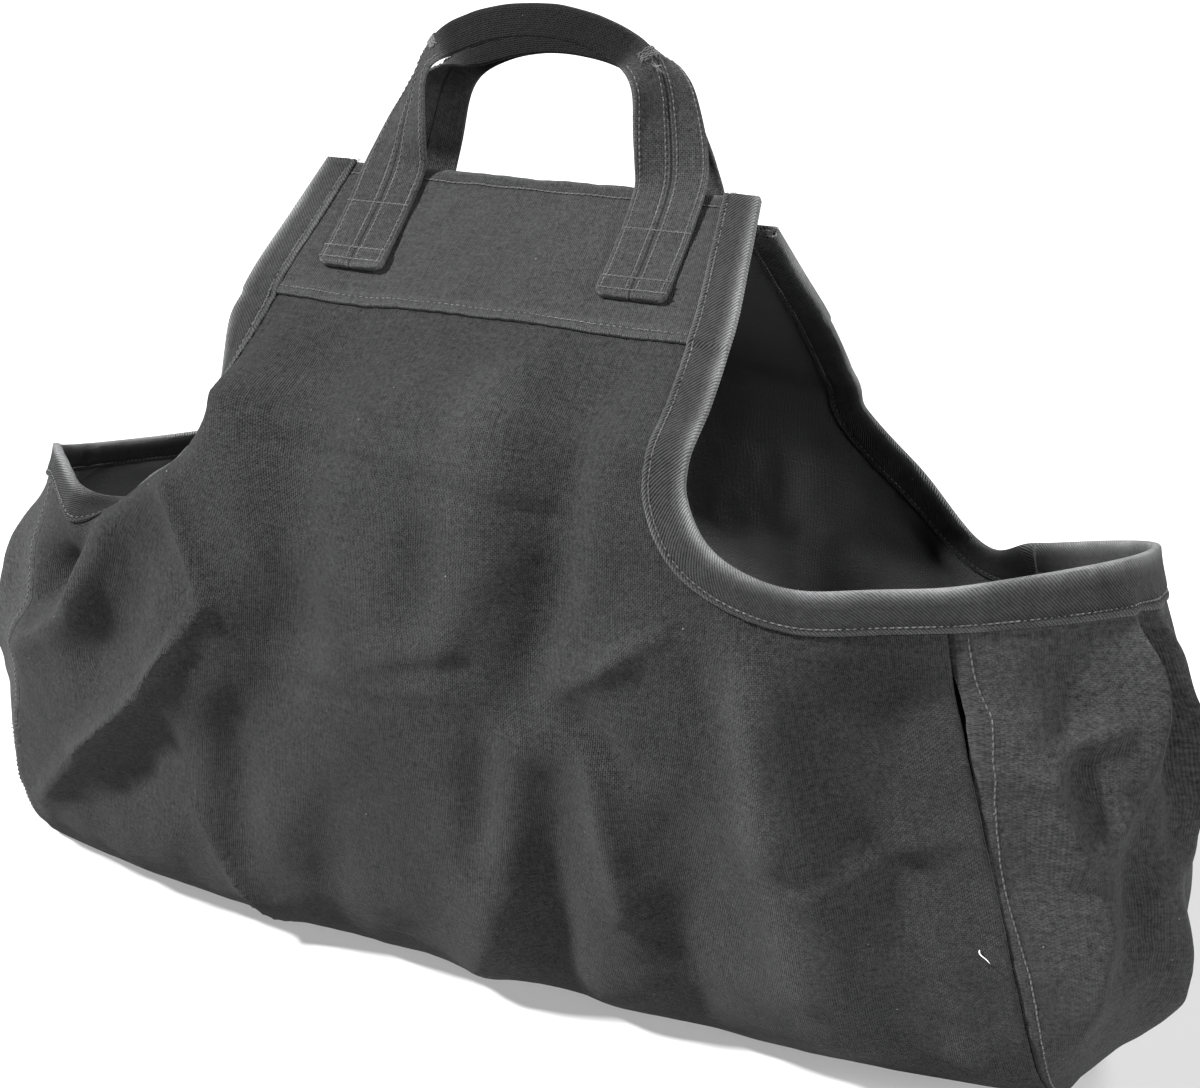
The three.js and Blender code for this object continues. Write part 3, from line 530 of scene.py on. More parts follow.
def weave_group():
    """Plain weave. Yarn k bulges as sin(pi frac(u)), over and under by (floor u + floor v) mod 2.
    Shade is the slubs: noise drawn out along the warp and along the weft."""
    tree, source, sink = new_group(
        "plain_weave",
        [("Cloth", "NodeSocketVector", None), ("Yarns per metre", "NodeSocketFloat", 1100.0)],
        [("Height", "NodeSocketFloat"), ("Shade", "NodeSocketFloat")],
    )
    parts = tree.nodes.new("ShaderNodeSeparateXYZ")
    tree.links.new(source.outputs["Cloth"], parts.inputs[0])
    wander = calc(tree, "MULTIPLY", noise(tree, source.outputs["Cloth"], 240.0), 0.0006)
    u = calc(tree, "MULTIPLY", calc(tree, "ADD", parts.outputs[0], wander), source.outputs[1])
    v = calc(tree, "MULTIPLY", calc(tree, "ADD", parts.outputs[1], wander), source.outputs[1])
    bulge_u = calc(tree, "SINE", calc(tree, "MULTIPLY", calc(tree, "FRACT", u), math.pi))
    bulge_v = calc(tree, "SINE", calc(tree, "MULTIPLY", calc(tree, "FRACT", v), math.pi))
    cells = calc(tree, "ADD", calc(tree, "FLOOR", u), calc(tree, "FLOOR", v))
    over = calc(tree, "PINGPONG", cells, 1.0)
    warp = calc(tree, "MULTIPLY", calc(tree, "MULTIPLY", bulge_u, bulge_v), over)
    weft = calc(tree, "MULTIPLY", calc(tree, "MULTIPLY", bulge_u, 0.7), calc(tree, "SUBTRACT", 1.0, over))
    tree.links.new(calc(tree, "ADD", warp, weft), sink.inputs["Height"])
    along = noise(tree, stretch(tree, u, v, 0.9, 0.07), 1.0, 2.0, 0.6)
    across = noise(tree, stretch(tree, u, v, 0.06, 0.8), 1.0, 2.0, 0.6)
    grain = noise(tree, stretch(tree, u, v, 0.45, 0.45), 1.0, 3.0, 0.75)
    slubs = calc(tree, "MULTIPLY", calc(tree, "ADD", along, across), 0.6)
    shade = calc(tree, "ADD", slubs, calc(tree, "MULTIPLY", grain, 2.2))
    tree.links.new(remap(tree, shade, 1.28, 2.15), sink.inputs["Shade"])
    return tree


def twill_group():
    """Twill: diagonal wales |sin(pi (u + v))| over finer yarns |sin(pi (u - v) / 2)|."""
    tree, source, sink = new_group(
        "twill",
        [("Cloth", "NodeSocketVector", None), ("Yarns per metre", "NodeSocketFloat", 620.0)],
        [("Height", "NodeSocketFloat"), ("Shade", "NodeSocketFloat")],
    )
    parts = tree.nodes.new("ShaderNodeSeparateXYZ")
    tree.links.new(source.outputs["Cloth"], parts.inputs[0])
    wander = calc(tree, "MULTIPLY", noise(tree, source.outputs["Cloth"], 160.0), 0.0009)
    u = calc(tree, "MULTIPLY", calc(tree, "ADD", parts.outputs[0], wander), source.outputs[1])
    v = calc(tree, "MULTIPLY", parts.outputs[1], source.outputs[1])
    wale = calc(tree, "SINE", calc(tree, "MULTIPLY", calc(tree, "ADD", u, v), math.pi))
    wale = calc(tree, "ABSOLUTE", wale)
    yarn = calc(tree, "SINE", calc(tree, "MULTIPLY", calc(tree, "SUBTRACT", u, v), math.pi * 2))
    yarn = calc(tree, "ABSOLUTE", yarn)
    height = calc(tree, "ADD", calc(tree, "MULTIPLY", wale, 0.75), calc(tree, "MULTIPLY", yarn, 0.25))
    tree.links.new(height, sink.inputs["Height"])
    grain = noise(tree, stretch(tree, u, v, 0.8, 0.8), 1.0, 3.0, 0.7)
    shade = calc(tree, "ADD", calc(tree, "MULTIPLY", grain, 0.9), calc(tree, "MULTIPLY", height, 0.5))
    tree.links.new(remap(tree, shade, 0.45, 1.15), sink.inputs["Shade"])
    return tree


def age_group():
    """Age of the cloth: Mottle is broad fading, Fluff is raised fibre, Lint is sparse pale specks."""
    tree, source, sink = new_group(
        "cloth_age",
        [("Place", "NodeSocketVector", None)],
        [("Mottle", "NodeSocketFloat"), ("Fluff", "NodeSocketFloat"), ("Lint", "NodeSocketFloat")],
    )
    place = source.outputs["Place"]
    broad = noise(tree, place, 7.0, 2.0, 0.5)
    patchy = noise(tree, place, 260.0, 4.0, 0.7)
    both = calc(tree, "ADD", calc(tree, "MULTIPLY", broad, 0.3), calc(tree, "MULTIPLY", patchy, 0.7))
    tree.links.new(remap(tree, both, 0.34, 0.66), sink.inputs["Mottle"])
    tree.links.new(remap(tree, noise(tree, place, 420.0, 2.0, 0.7), 0.35, 0.75), sink.inputs["Fluff"])
    specks = tree.nodes.new("ShaderNodeTexVoronoi")
    specks.inputs["Scale"].default_value = 150.0
    tree.links.new(place, specks.inputs["Vector"])
    near = calc(tree, "LESS_THAN", specks.outputs["Distance"], 0.07)
    tone = tree.nodes.new("ShaderNodeSeparateColor")
    tree.links.new(specks.outputs["Color"], tone.inputs[0])
    few = calc(tree, "GREATER_THAN", tone.outputs[0], 0.955)
    tree.links.new(calc(tree, "MULTIPLY", near, few), sink.inputs["Lint"])
    return tree


PLAIN_WEAVE = weave_group()
TWILL = twill_group()
CLOTH_AGE = age_group()


def cloth_material(name, dark, light, pale_tone, weave, yarns, relief, sheen):
    """Dyed cloth: tone from dark to light by the weave's shade and the mottling, paler by the wear mask
    (rubbed wear, and painted light on the flap facings), paler on the inner layer by the mask
    "inside" (painted light), darker by the darkening mask (painted shade in grooves and inside the
    bag, and a darker grip), with lint, sheen and the weave's own bump."""
    material = bpy.data.materials.new(name)
    material.use_nodes = True
    tree = material.node_tree
    shader = tree.nodes["Principled BSDF"]
    cloth = tree.nodes.new("ShaderNodeUVMap")
    cloth.uv_map = "cloth"
    place = tree.nodes.new("ShaderNodeTexCoord")
    yarn = tree.nodes.new("ShaderNodeGroup")
    yarn.node_tree = weave
    yarn.inputs["Yarns per metre"].default_value = yarns
    tree.links.new(cloth.outputs[0], yarn.inputs["Cloth"])
    age = tree.nodes.new("ShaderNodeGroup")
    age.node_tree = CLOTH_AGE
    tree.links.new(place.outputs["Object"], age.inputs["Place"])

    def mask(label):
        made = tree.nodes.new("ShaderNodeAttribute")
        made.attribute_name = label
        return made.outputs["Fac"]

    def blend(share, a, b):
        made = tree.nodes.new("ShaderNodeMix")
        made.data_type = "RGBA"
        feed(tree, made.inputs[0], share)
        feed(tree, made.inputs[6], a)
        feed(tree, made.inputs[7], b)
        return made.outputs[2]

    def grey(value):
        return (value, value * 1.005, value * 1.015, 1.0)

    shade = calc(tree, "MULTIPLY", yarn.outputs["Shade"], 0.62)
    shade = calc(tree, "ADD", shade, calc(tree, "MULTIPLY", age.outputs["Mottle"], 0.38))
    colour = blend(shade, grey(dark), grey(light))
    # Paler by the wear mask: rubbed wear, and on the flap facings painted light as well.
    wear_and_painted_light = calc(tree, "MULTIPLY", mask("wear_and_painted_light"), remap(tree, yarn.outputs["Shade"], 0.0, 1.0, 0.5, 1.0))
    colour = blend(wear_and_painted_light, colour, grey(pale_tone))
    # Painted light: the inner layer blended towards a grey 2.6 times the light tone, standing in for light inside the
    # bag.
    colour = blend(calc(tree, "MULTIPLY", mask("inside"), 0.85), colour, grey(light * 2.6))
    # Painted shade: blended towards near black by the darkening mask in stitch and seam grooves and low inside the
    # bag; the same mask darkens the folded grip.
    colour = blend(calc(tree, "MULTIPLY", mask("painted_shade_and_darkening"), 0.92), colour, grey(dark * 0.25))
    colour = blend(calc(tree, "MULTIPLY", age.outputs["Lint"], 0.5), colour, grey(0.2))
    tree.links.new(colour, shader.inputs["Base Color"])
    tree.links.new(remap(tree, yarn.outputs["Shade"], 0.0, 1.0, 0.98, 0.84), shader.inputs["Roughness"])
    shader.inputs["Specular IOR Level"].default_value = 0.1
    shader.inputs["Sheen Weight"].default_value = sheen
    shader.inputs["Sheen Roughness"].default_value = 0.45
    shader.inputs["Sheen Tint"].default_value = grey(0.85)
    fluff = calc(tree, "MULTIPLY", age.outputs["Fluff"], 0.55)
    raised = calc(tree, "ADD", calc(tree, "ADD", yarn.outputs["Height"], fluff), yarn.outputs["Shade"])
    bump = tree.nodes.new("ShaderNodeBump")
    bump.inputs["Strength"].default_value = relief
    bump.inputs["Distance"].default_value = 0.0007
    tree.links.new(raised, bump.inputs["Height"])
    tree.links.new(bump.outputs[0], shader.inputs["Normal"])
    return material


CANVAS = cloth_material("canvas", 0.006, 0.034, 0.09, PLAIN_WEAVE, 1050.0, 0.8, 0.04)
GUSSET_CANVAS = cloth_material("gusset_canvas", 0.007, 0.042, 0.11, PLAIN_WEAVE, 1050.0, 0.5, 0.05)
TWILL_TAPE = cloth_material("twill_tape", 0.005, 0.033, 0.22, TWILL, 540.0, 0.9, 0.04)
STRAP_CANVAS = cloth_material("strap_canvas", 0.006, 0.038, 0.1, PLAIN_WEAVE, 1000.0, 0.8, 0.04)

ROWS_BELOW = 108
ROWS_FLAP = 54
FLAP_CELLS = 44
POCKET_CELLS = 44
half_columns = np.concatenate(
    [np.linspace(0, NOTCH, FLAP_CELLS + 1), np.linspace(NOTCH, 1, POCKET_CELLS + 1)[1:]]
)
sheet_across = np.concatenate([-half_columns[:0:-1], half_columns])


def wall_grid(name):
    """Places of a wall's rows: evenly from the floor's middle to the cut, then to the flap's top."""
    below = np.linspace(0, 1, ROWS_BELOW + 1)[:, None] * cut_girth(name, sheet_across)
    cut = below[-1]
    above = cut + np.linspace(0, 1, ROWS_FLAP + 1)[1:, None] * (WALLS[name]["top_girth"] - cut)
    girth = np.concatenate([below, above])
    across = np.broadcast_to(sheet_across, girth.shape)
    points, _ = wall_surface(name, across, girth)
    lifted = wall_height(name, across.ravel(), girth.ravel()).reshape(girth.shape)
    return points, girth, lifted


front_points, front_girth, front_lift = wall_grid("front")
back_points, back_girth, back_lift = wall_grid("back")
sheet_points = np.concatenate([back_points[:0:-1], front_points])
sheet_girth = np.concatenate([-back_girth[:0:-1], front_girth])
sheet_lift = np.concatenate([back_lift[:0:-1], front_lift])
sheet_rows = len(sheet_points)
row_middle = ROWS_BELOW + ROWS_FLAP
column_middle = len(sheet_across) // 2
cell_row = np.abs(np.arange(sheet_rows - 1) - row_middle + 0.5)[:, None]
cell_column = np.abs(np.arange(len(sheet_across) - 1) - column_middle + 0.5)[None, :]
sheet_kept = (cell_row < ROWS_BELOW) | (cell_column < FLAP_CELLS)
sheet_faces = grid_faces(sheet_rows, len(sheet_across), sheet_kept)
sheet_normals = grid_normals(sheet_points)
sheet_uv = np.stack(
    [np.broadcast_to(sheet_across * mix(MOUTH_HALF, FLOOR_HALF, 0.4), sheet_girth.shape), sheet_girth], -1
)
sheet_wear = 0.12 * ease(sheet_lift, 3, 9)
# The inner layer gets painted shade, strongest up to 200 mm of girth from the floor's middle and gone by 330 mm.
body_panel = add_shell(
    "body_sheet", sheet_points, sheet_points - sheet_normals * SHEET_THICK, sheet_faces, CANVAS,
    "canvas", sheet_uv, {"wear_and_painted_light": sheet_wear},
    painted_inner_shade=0.45 * (1 - ease(np.abs(sheet_girth), 200, 330)),
)
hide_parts("body_panel")

# Sideways closing pieces: one gusset of the same canvas at each end, sewn to the long sheet and
# bulging outwards, with pleats and crumples where the cloth was folded in storage.
GUSSET_BULGE = 81.0
RIM_LIFT = 20.0
GUSSET_FORMS = {-1: dict(belly=0.8, rim=0.5, lift=-0.6), 1: dict(belly=1, rim=0.88, lift=1)}
BULGE_SHARES = np.array([0, 0, 0.27, 0.6, 0.87, 1, 1.0])
SEAM_OFFSET = 1.85
# Folds of a gusset: side, from and to as share across (0 at the front seam) and share up, then
# half width in mm, height in mm and crispness.
GUSSET_FOLDS = [
    (1, 0.0, 0.85, 0.07, 0.71, 6, 11.5, 0.6),
    (1, 0.07, 0.71, 0.1, 0.56, 6, 15.2, 0.7),
    (1, 0.07, 0.71, 0.22, 0.8, 6, 9.5, 0.3),
    (1, 0.1, 0.58, 0.24, 0.66, 7, 7.6, 0.3),
    (1, 0.14, 0.86, 0.14, 0.62, 9, -13.3, 0.1),
    (1, 0.03, 0.66, 0.04, 0.42, 8, -11.4, 0.1),
    (1, 0.14, 0.5, 0.1, 0.25, 9, 11.4, 0.5),
    (1, 0.3, 0.97, 0.24, 0.7, 6, 11.4, 0.5),
    (1, 0.34, 0.98, 0.33, 0.6, 7, -11.4, 0.2),
    (1, 0.24, 0.66, 0.2, 0.4, 9, -9.5, 0.1),
    (1, 0.4, 0.98, 0.38, 0.55, 7, 9.5, 0.4),
    (1, 0.3, 0.5, 0.36, 0.2, 10, 11.4, 0.2),
    (1, 0.48, 0.9, 0.46, 0.4, 9, -9.5, 0.1),
    (1, 0.7, 0.9, 0.68, 0.3, 10, -9.5, 0.3),
    (1, 0.82, 0.7, 0.9, 0.5, 8, 11.4, 0.3),
    (-1, 0.1, 0.85, 0.14, 0.5, 8, 9.5, 0.3),
    (-1, 0.34, 0.98, 0.36, 0.45, 9, -9.5, 0.3),
    (-1, 0.52, 0.98, 0.5, 0.6, 7, 11.4, 0.4),
    (-1, 0.3, 0.4, 0.5, 0.3, 8, 9.5, 0.3),
    (-1, 0.7, 0.9, 0.68, 0.3, 10, -11.4, 0.3),
    (-1, 0.86, 0.75, 0.8, 0.45, 8, 11.4, 0.3),
]


def seam_point(name, side, girth, offset=SEAM_OFFSET):
    """The wall's end edge, moved on by an offset along the cloth."""
    edge = plain_wall(name, np.full_like(girth, float(side)), girth)
    near = plain_wall(name, np.full_like(girth, side * 0.996), girth)
    return edge + unit(edge - near) * offset


def paired_girths(name, side, up):
    """Girth on a wall's end seam at a share up the gusset, 0 at the floor and 1 at the cut."""
    girths = WALLS[name]["girths"]
    cut = cut_girth(name, np.array([float(side)]))[0]
    knots = np.concatenate([girths[1:5], [cut - TAPE_WIDTH, cut]])
    shares = (girths_front_knots(side) - girths_front_knots(side)[0]) / np.ptp(girths_front_knots(side))
    return np.interp(up, shares, knots)


def girths_front_knots(side):
    """The front wall's girths at the knots that pair the two end seams."""
    cut = cut_girth("front", np.array([float(side)]))[0]
    return np.concatenate([WALLS["front"]["girths"][1:5], [cut - TAPE_WIDTH, cut]])


def gusset_surface(side, up, across):
    """Chord between the two end seams, pushed out by bulge * (1 - |2a - 1|^2.4), lifted at the
    rim, and bowed at the foot to follow the floor's end, plus its folds."""
    form = GUSSET_FORMS[side]
    shape = np.broadcast(up, across).shape
    t = np.broadcast_to(up, shape).ravel().astype(float)
    a = np.broadcast_to(across, shape).ravel().astype(float)
    front_girth_at = paired_girths("front", side, t)
    front = seam_point("front", side, front_girth_at)
    back = seam_point("back", side, paired_girths("back", side, t))
    shares = BULGE_SHARES * form["belly"]
    shares[-1] = form["rim"]
    bulge = GUSSET_BULGE * smooth_curve(WALLS["front"]["girths"][:7], shares, front_girth_at)
    round_off = 1 - np.abs(2 * a - 1) ** 2.4
    point = mix(front, back, a[:, None])
    point[:, 0] += side * bulge * round_off
    tuck = 1 - ease(0.5 - np.abs(a - 0.5), 0.0, 0.008)
    point[:, 0] -= side * 1.6 * tuck
    for name, away in (("front", a), ("back", 1 - a)):
        girth = paired_girths(name, side, t)
        end = np.full_like(girth, float(side))
        rise_there = wall_height(name, end, girth) * np.exp(-away * 200 / 24) - 0.5 * tuck * (away < 0.5)
        point += plain_normal(name, end, girth) * rise_there[:, None]
    point[:, 2] += RIM_LIFT * form["lift"] * round_off * t**6
    ends = [seam_point(name, side, np.full(1, WALLS[name]["girths"][1])) for name in ("front", "back")]
    reach = np.abs(2 * a - 1)
    bow = np.where(
        (a < 0.5)[:, None],
        seam_point("front", side, reach * WALLS["front"]["girths"][1]),
        seam_point("back", side, reach * WALLS["back"]["girths"][1]),
    ) - mix(ends[0], ends[1], a[:, None])
    point += bow * ((1 - t) ** 3)[:, None]
    run, rise = a * 200, t * 260
    height = np.zeros_like(a)
    for which, a0, t0, a1, t1, spread, top, crisp in GUSSET_FOLDS:
        if which != side:
            continue
        start = np.array([a0 * 200, t0 * 260])
        way = np.array([a1 * 200, t1 * 260]) - start
        at = np.stack([run, rise], -1) - start
        k = np.clip(at @ way / (way @ way), 0, 1)
        d = np.linalg.norm(at - k[:, None] * way, axis=-1) / spread
        height += top * (0.45 + 0.55 * np.sin(np.pi * k)) * mix(np.exp(-d * d), np.exp(-d), crisp)
    calm = ease(t, 0.05, 0.3) * ease(1 - t, 0.03, 0.12) * ease(0.5 - np.abs(a - 0.5), 0.0, 0.1)
    height = height * ease(t, 0.05, 0.3) * ease(1 - t, 0.02, 0.12) + 3.2 * ripple(run, rise, 71 + side, 26, 120, 26, 0.9) * calm
    height += 0.7 * ripple(run, rise, 75 + side, 30, 34, 10, 1.3) * calm
    height += pucker(rise, 200 * (0.5 - np.abs(a - 0.5)), 12, 0.5, 8, 79 + side) * ease(t, 0.02, 0.1)
    point[:, 0] += side * height * (0.45 + 0.55 * round_off)
    point[:, 1] -= np.where(a < 0.5, 1, -1) * height * (1 - round_off) * 0.7 * ease(0.5 - np.abs(a - 0.5), 0, 0.12)
    return point.reshape(*shape, 3)


gusset_up = np.linspace(0, 1, 150)[:, None]
gusset_across = np.linspace(0, 1, 116)[None, :]
seam_rows = {}
for side, label in ((-1, "left"), (1, "right")):
    points = gusset_surface(side, gusset_up, gusset_across)
    normals = grid_normals(points) * -side
    normals = normals * np.sign(normals[75, 58, 0]) * side
    faces = grid_faces(*points.shape[:2])
    corner = points[75, 58], points[75, 59], points[76, 58]
    outward = np.cross(corner[1] - corner[0], corner[2] - corner[0])[0] * side > 0
    faces = faces if outward else faces[:, ::-1]
    uv = np.stack(np.broadcast_arrays(gusset_across * 230, gusset_up * 300), -1)
    inner_layer = points - normals * SHEET_THICK
    inner_layer[..., 2] = np.maximum(inner_layer[..., 2], 0.3)
    gusset = add_shell(
        f"gusset_{label}", points, inner_layer, faces, GUSSET_CANVAS,
        "gusset_canvas", uv, {"wear_and_painted_light": np.zeros(points.shape[:2])},
    )
    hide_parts(f"end_gusset_{label}")
    seam_rows[label] = [(points[2:-9, k], normals[2:-9, k]) for k in (2, -3)]

# Sewing thread: every seam is sewn in grey cotton, each stitch pulled down into the cloth at its
# two needle holes, each hole a small near-black disc of painted shade.
def cloth_thread_material(name, dark, light, bright):
    """Twisted thread: bands along its own twist, rubbed paler in places."""
    material = bpy.data.materials.new(name)
    material.use_nodes = True
    tree = material.node_tree
    shader = tree.nodes["Principled BSDF"]
    place = tree.nodes.new("ShaderNodeTexCoord")
    band = tree.nodes.new("ShaderNodeTexWave")
    band.bands_direction = "DIAGONAL"
    band.inputs["Scale"].default_value = 900.0
    band.inputs["Distortion"].default_value = 3.0
    tree.links.new(place.outputs["Object"], band.inputs["Vector"])
    rubbed = remap(tree, noise(tree, place.outputs["Object"], 60.0, 3.0, 0.7), 0.4, 0.7)
    ramp = tree.nodes.new("ShaderNodeValToRGB")
    ramp.color_ramp.elements[0].color = (dark, dark, dark, 1)
    ramp.color_ramp.elements[1].color = (bright, bright, bright, 1)
    ramp.color_ramp.elements.new(0.6).color = (light, light, light, 1)
    share = calc(tree, "ADD", calc(tree, "MULTIPLY", band.outputs["Fac"], 0.45), calc(tree, "MULTIPLY", rubbed, 0.55))
    tree.links.new(share, ramp.inputs[0])
    tree.links.new(ramp.outputs[0], shader.inputs["Base Color"])
    shader.inputs["Roughness"].default_value = 0.8
    shader.inputs["Sheen Weight"].default_value = 0.3
    return material


THREAD = cloth_thread_material("sewing_thread", 0.012, 0.035, 0.13)
# Near-black discs of painted shade at the needle holes.
NEEDLE_HOLE_SHADE = cloth_thread_material("needle_hole_shade", 0.003, 0.006, 0.01)
PALE_THREAD = cloth_thread_material("pale_thread", 0.35, 0.5, 0.65)

STITCH_SIDES = 6
STITCH_ALONG = np.array([-1, -0.8, -0.3, 0.3, 0.8, 1.0])
STITCH_GIRTH = np.array([0.3, 0.8, 1, 1, 0.8, 0.3])


def stitch_parts(line, normals, pitch=3.2, radius=0.34, fill=0.62):
    """Stitches along a line: each a tube whose middle lies on the cloth, h = 1 - t^2, and whose
    ends dive into it, with a flat disc of painted shade for the needle hole at each end. Gives
    tubes and hole discs as (points, faces)."""
    middle, normal = spaced(line, normals, pitch=pitch)
    along = unit(np.gradient(middle, axis=0))
    normal = unit(normal - along * np.sum(normal * along, -1, keepdims=True))
    across = np.cross(normal, along)
    t = STITCH_ALONG[None, :, None, None]
    turn = np.linspace(0, 2 * np.pi, STITCH_SIDES, endpoint=False)[None, None, :, None]
    reach = pitch * fill / 2
    ring = across[:, None, None] * np.cos(turn) + normal[:, None, None] * np.sin(turn)
    dive = (1 - t * t) * radius * 1.3 - radius * 0.5
    tube = middle[:, None, None] + along[:, None, None] * t * reach + normal[:, None, None] * dive
    tube = tube + ring * STITCH_GIRTH[None, :, None, None] * radius
    count, rings = len(middle), len(STITCH_ALONG)
    start = np.arange(rings * STITCH_SIDES).reshape(rings, STITCH_SIDES)
    nxt = np.roll(start, -1, axis=1)
    cell = np.stack([start[:-1], nxt[:-1], nxt[1:], start[1:]], -1).reshape(-1, 4)
    caps = [[start[0, k] for k in q] for q in ((3, 2, 1, 0), (5, 4, 3, 0))]
    caps += [[start[-1, k] for k in q] for q in ((0, 1, 2, 3), (0, 3, 4, 5))]
    cell = np.concatenate([cell, np.array(caps)])
    tube_faces = (cell[None] + (np.arange(count) * start.size)[:, None, None]).reshape(-1, 4)
    ends = np.concatenate([middle - along * reach, middle + along * reach])
    both = [np.concatenate([v, v]) for v in (along, across, normal)]
    turn = np.linspace(0, 2 * np.pi, 6, endpoint=False)[None, :, None]
    disc = both[0][:, None] * np.cos(turn) * 0.75 + both[1][:, None] * np.sin(turn) * 0.55
    disc = ends[:, None] + disc + both[2][:, None] * 0.07
    corner = np.array([[0, 1, 2, 3], [0, 3, 4, 5]])
    disc_faces = (corner[None] + (np.arange(len(ends)) * 6)[:, None, None]).reshape(-1, 4)
    return (tube.reshape(-1, 3), tube_faces), (disc.reshape(-1, 3), disc_faces)


def add_stitches(name, rows, slot):
    """One piece of thread and one of needle-hole discs of painted shade from many rows of stitches."""
    for suffix, part, material in (("thread", 0, THREAD), ("needle_holes", 1, NEEDLE_HOLE_SHADE)):
        points, faces, start = [], [], 0
        for row in rows:
            points.append(row[part][0])
            faces.append(row[part][1] + start)
            start += len(row[part][0])
        add_mesh(f"{name}_{suffix}", np.concatenate(points), np.concatenate(faces), material, slot)


for label, seams in seam_rows.items():
    rows = [stitch_parts(line + out * 0.05, out, pitch=3.6) for line, out in seams]
    add_stitches(f"gusset_{label}_stitches", rows, "gusset_canvas")

# Binding: twill tape folded over the cut edge, from the front flap's top down its side, round
# the notch, along the rim, round the end and up the back flap. Its lower edge is turned in and
# sewn through, and the fold on the rim is rubbed pale.
SEAM_GAP = 0.35
TAPE_THICK = 1.0
FACING_THICK = 1.2
FACING_OUT = SEAM_GAP + FACING_THICK
TAPE_STEP = 1.4
TAPE_STITCH = 15.2
GUSSET_UP_LENGTH = 300.0

# Section of the tape: mm in from the edge, mm beyond the edge, height over the cloth's face.
LEG = [
    (18.5, 0.75), (18.2, 1.25), (17.2, 1.75), (16.2, 1.55), (15.2, 1.05), (14.2, 1.45),
    (12.0, 1.6), (9.0, 1.5), (6.0, 1.4), (3.0, 1.4), (1.2, 1.4), (0.0, 1.35),
]
leg_in = np.array([row[0] for row in LEG])
leg_out = np.array([row[1] for row in LEG])
CROWN = [(0.55, 1.15), (1.05, 0.7), (1.3, 0.0), (1.35, -0.75), (1.3, -1.5), (1.05, -2.2), (0.55, -2.65)]
TAPE_WEAR = np.concatenate([np.interp(leg_in, [0, 1.5, 4, 16, 18.5], [0.9, 0.5, 0.05, 0.05, 0.45])])


def edge_run(name, side):
    """The cut edge on the flat cloth with its corners eased, as (x, girth)."""
    run = cut_run(name, side, TAPE_STEP)
    inner = soften(run, 2.5)
    inner[:6], inner[-6:] = run[:6], run[-6:]
    return inner


def taped_wall(name, side):
    """Points, normals and facing cover under the tape: surface at run + inward * w."""
    run = edge_run(name, side)
    tangent = unit(soften(np.gradient(run, axis=0), 3))
    inward = side * np.stack([tangent[:, 1], -tangent[:, 0]], -1)
    place = run[:, None] + inward[:, None] * leg_in[None, :, None]
    across = np.clip(place[..., 0] / MOUTH_HALF, -1, 1)
    points, normals = wall_surface(name, across, place[..., 1])
    seam = WALLS[name]["top_girth"] - FACING_HEIGHT
    cover = FACING_OUT * ease(place[..., 1], seam - 2, seam + 1)
    return points, normals, cover


def tape_base(side):
    """The cloth under one whole binding: front wall, gusset and back wall in one run, its
    corners softened where the walls meet the gusset."""
    front = taped_wall("front", side)
    back = [rows[::-1] for rows in taped_wall("back", side)]
    across = np.linspace(0.004, 0.996, 150)[:, None]
    points = gusset_surface(side, 1 - leg_in[None, :] / GUSSET_UP_LENGTH, across)
    normals = grid_normals(points)
    normals = normals * np.sign(normals[75, 5, 0] * side)
    gusset = points, normals, np.zeros(points.shape[:2])
    points, normals, cover = (np.concatenate(rows) for rows in zip(front, gusset, back))
    soft = soften(points, 2.5), unit(soften(normals, 4))
    calm = np.zeros(len(points))
    for seam in (len(front[0]), len(points) - len(back[0])):
        calm = np.maximum(calm, np.exp(-(((np.arange(len(points)) - seam) / 9.0) ** 2)))
    calm = calm[:, None, None]
    return mix(points, soft[0], calm), unit(mix(normals, soft[1], 0.3 + 0.7 * calm)), cover


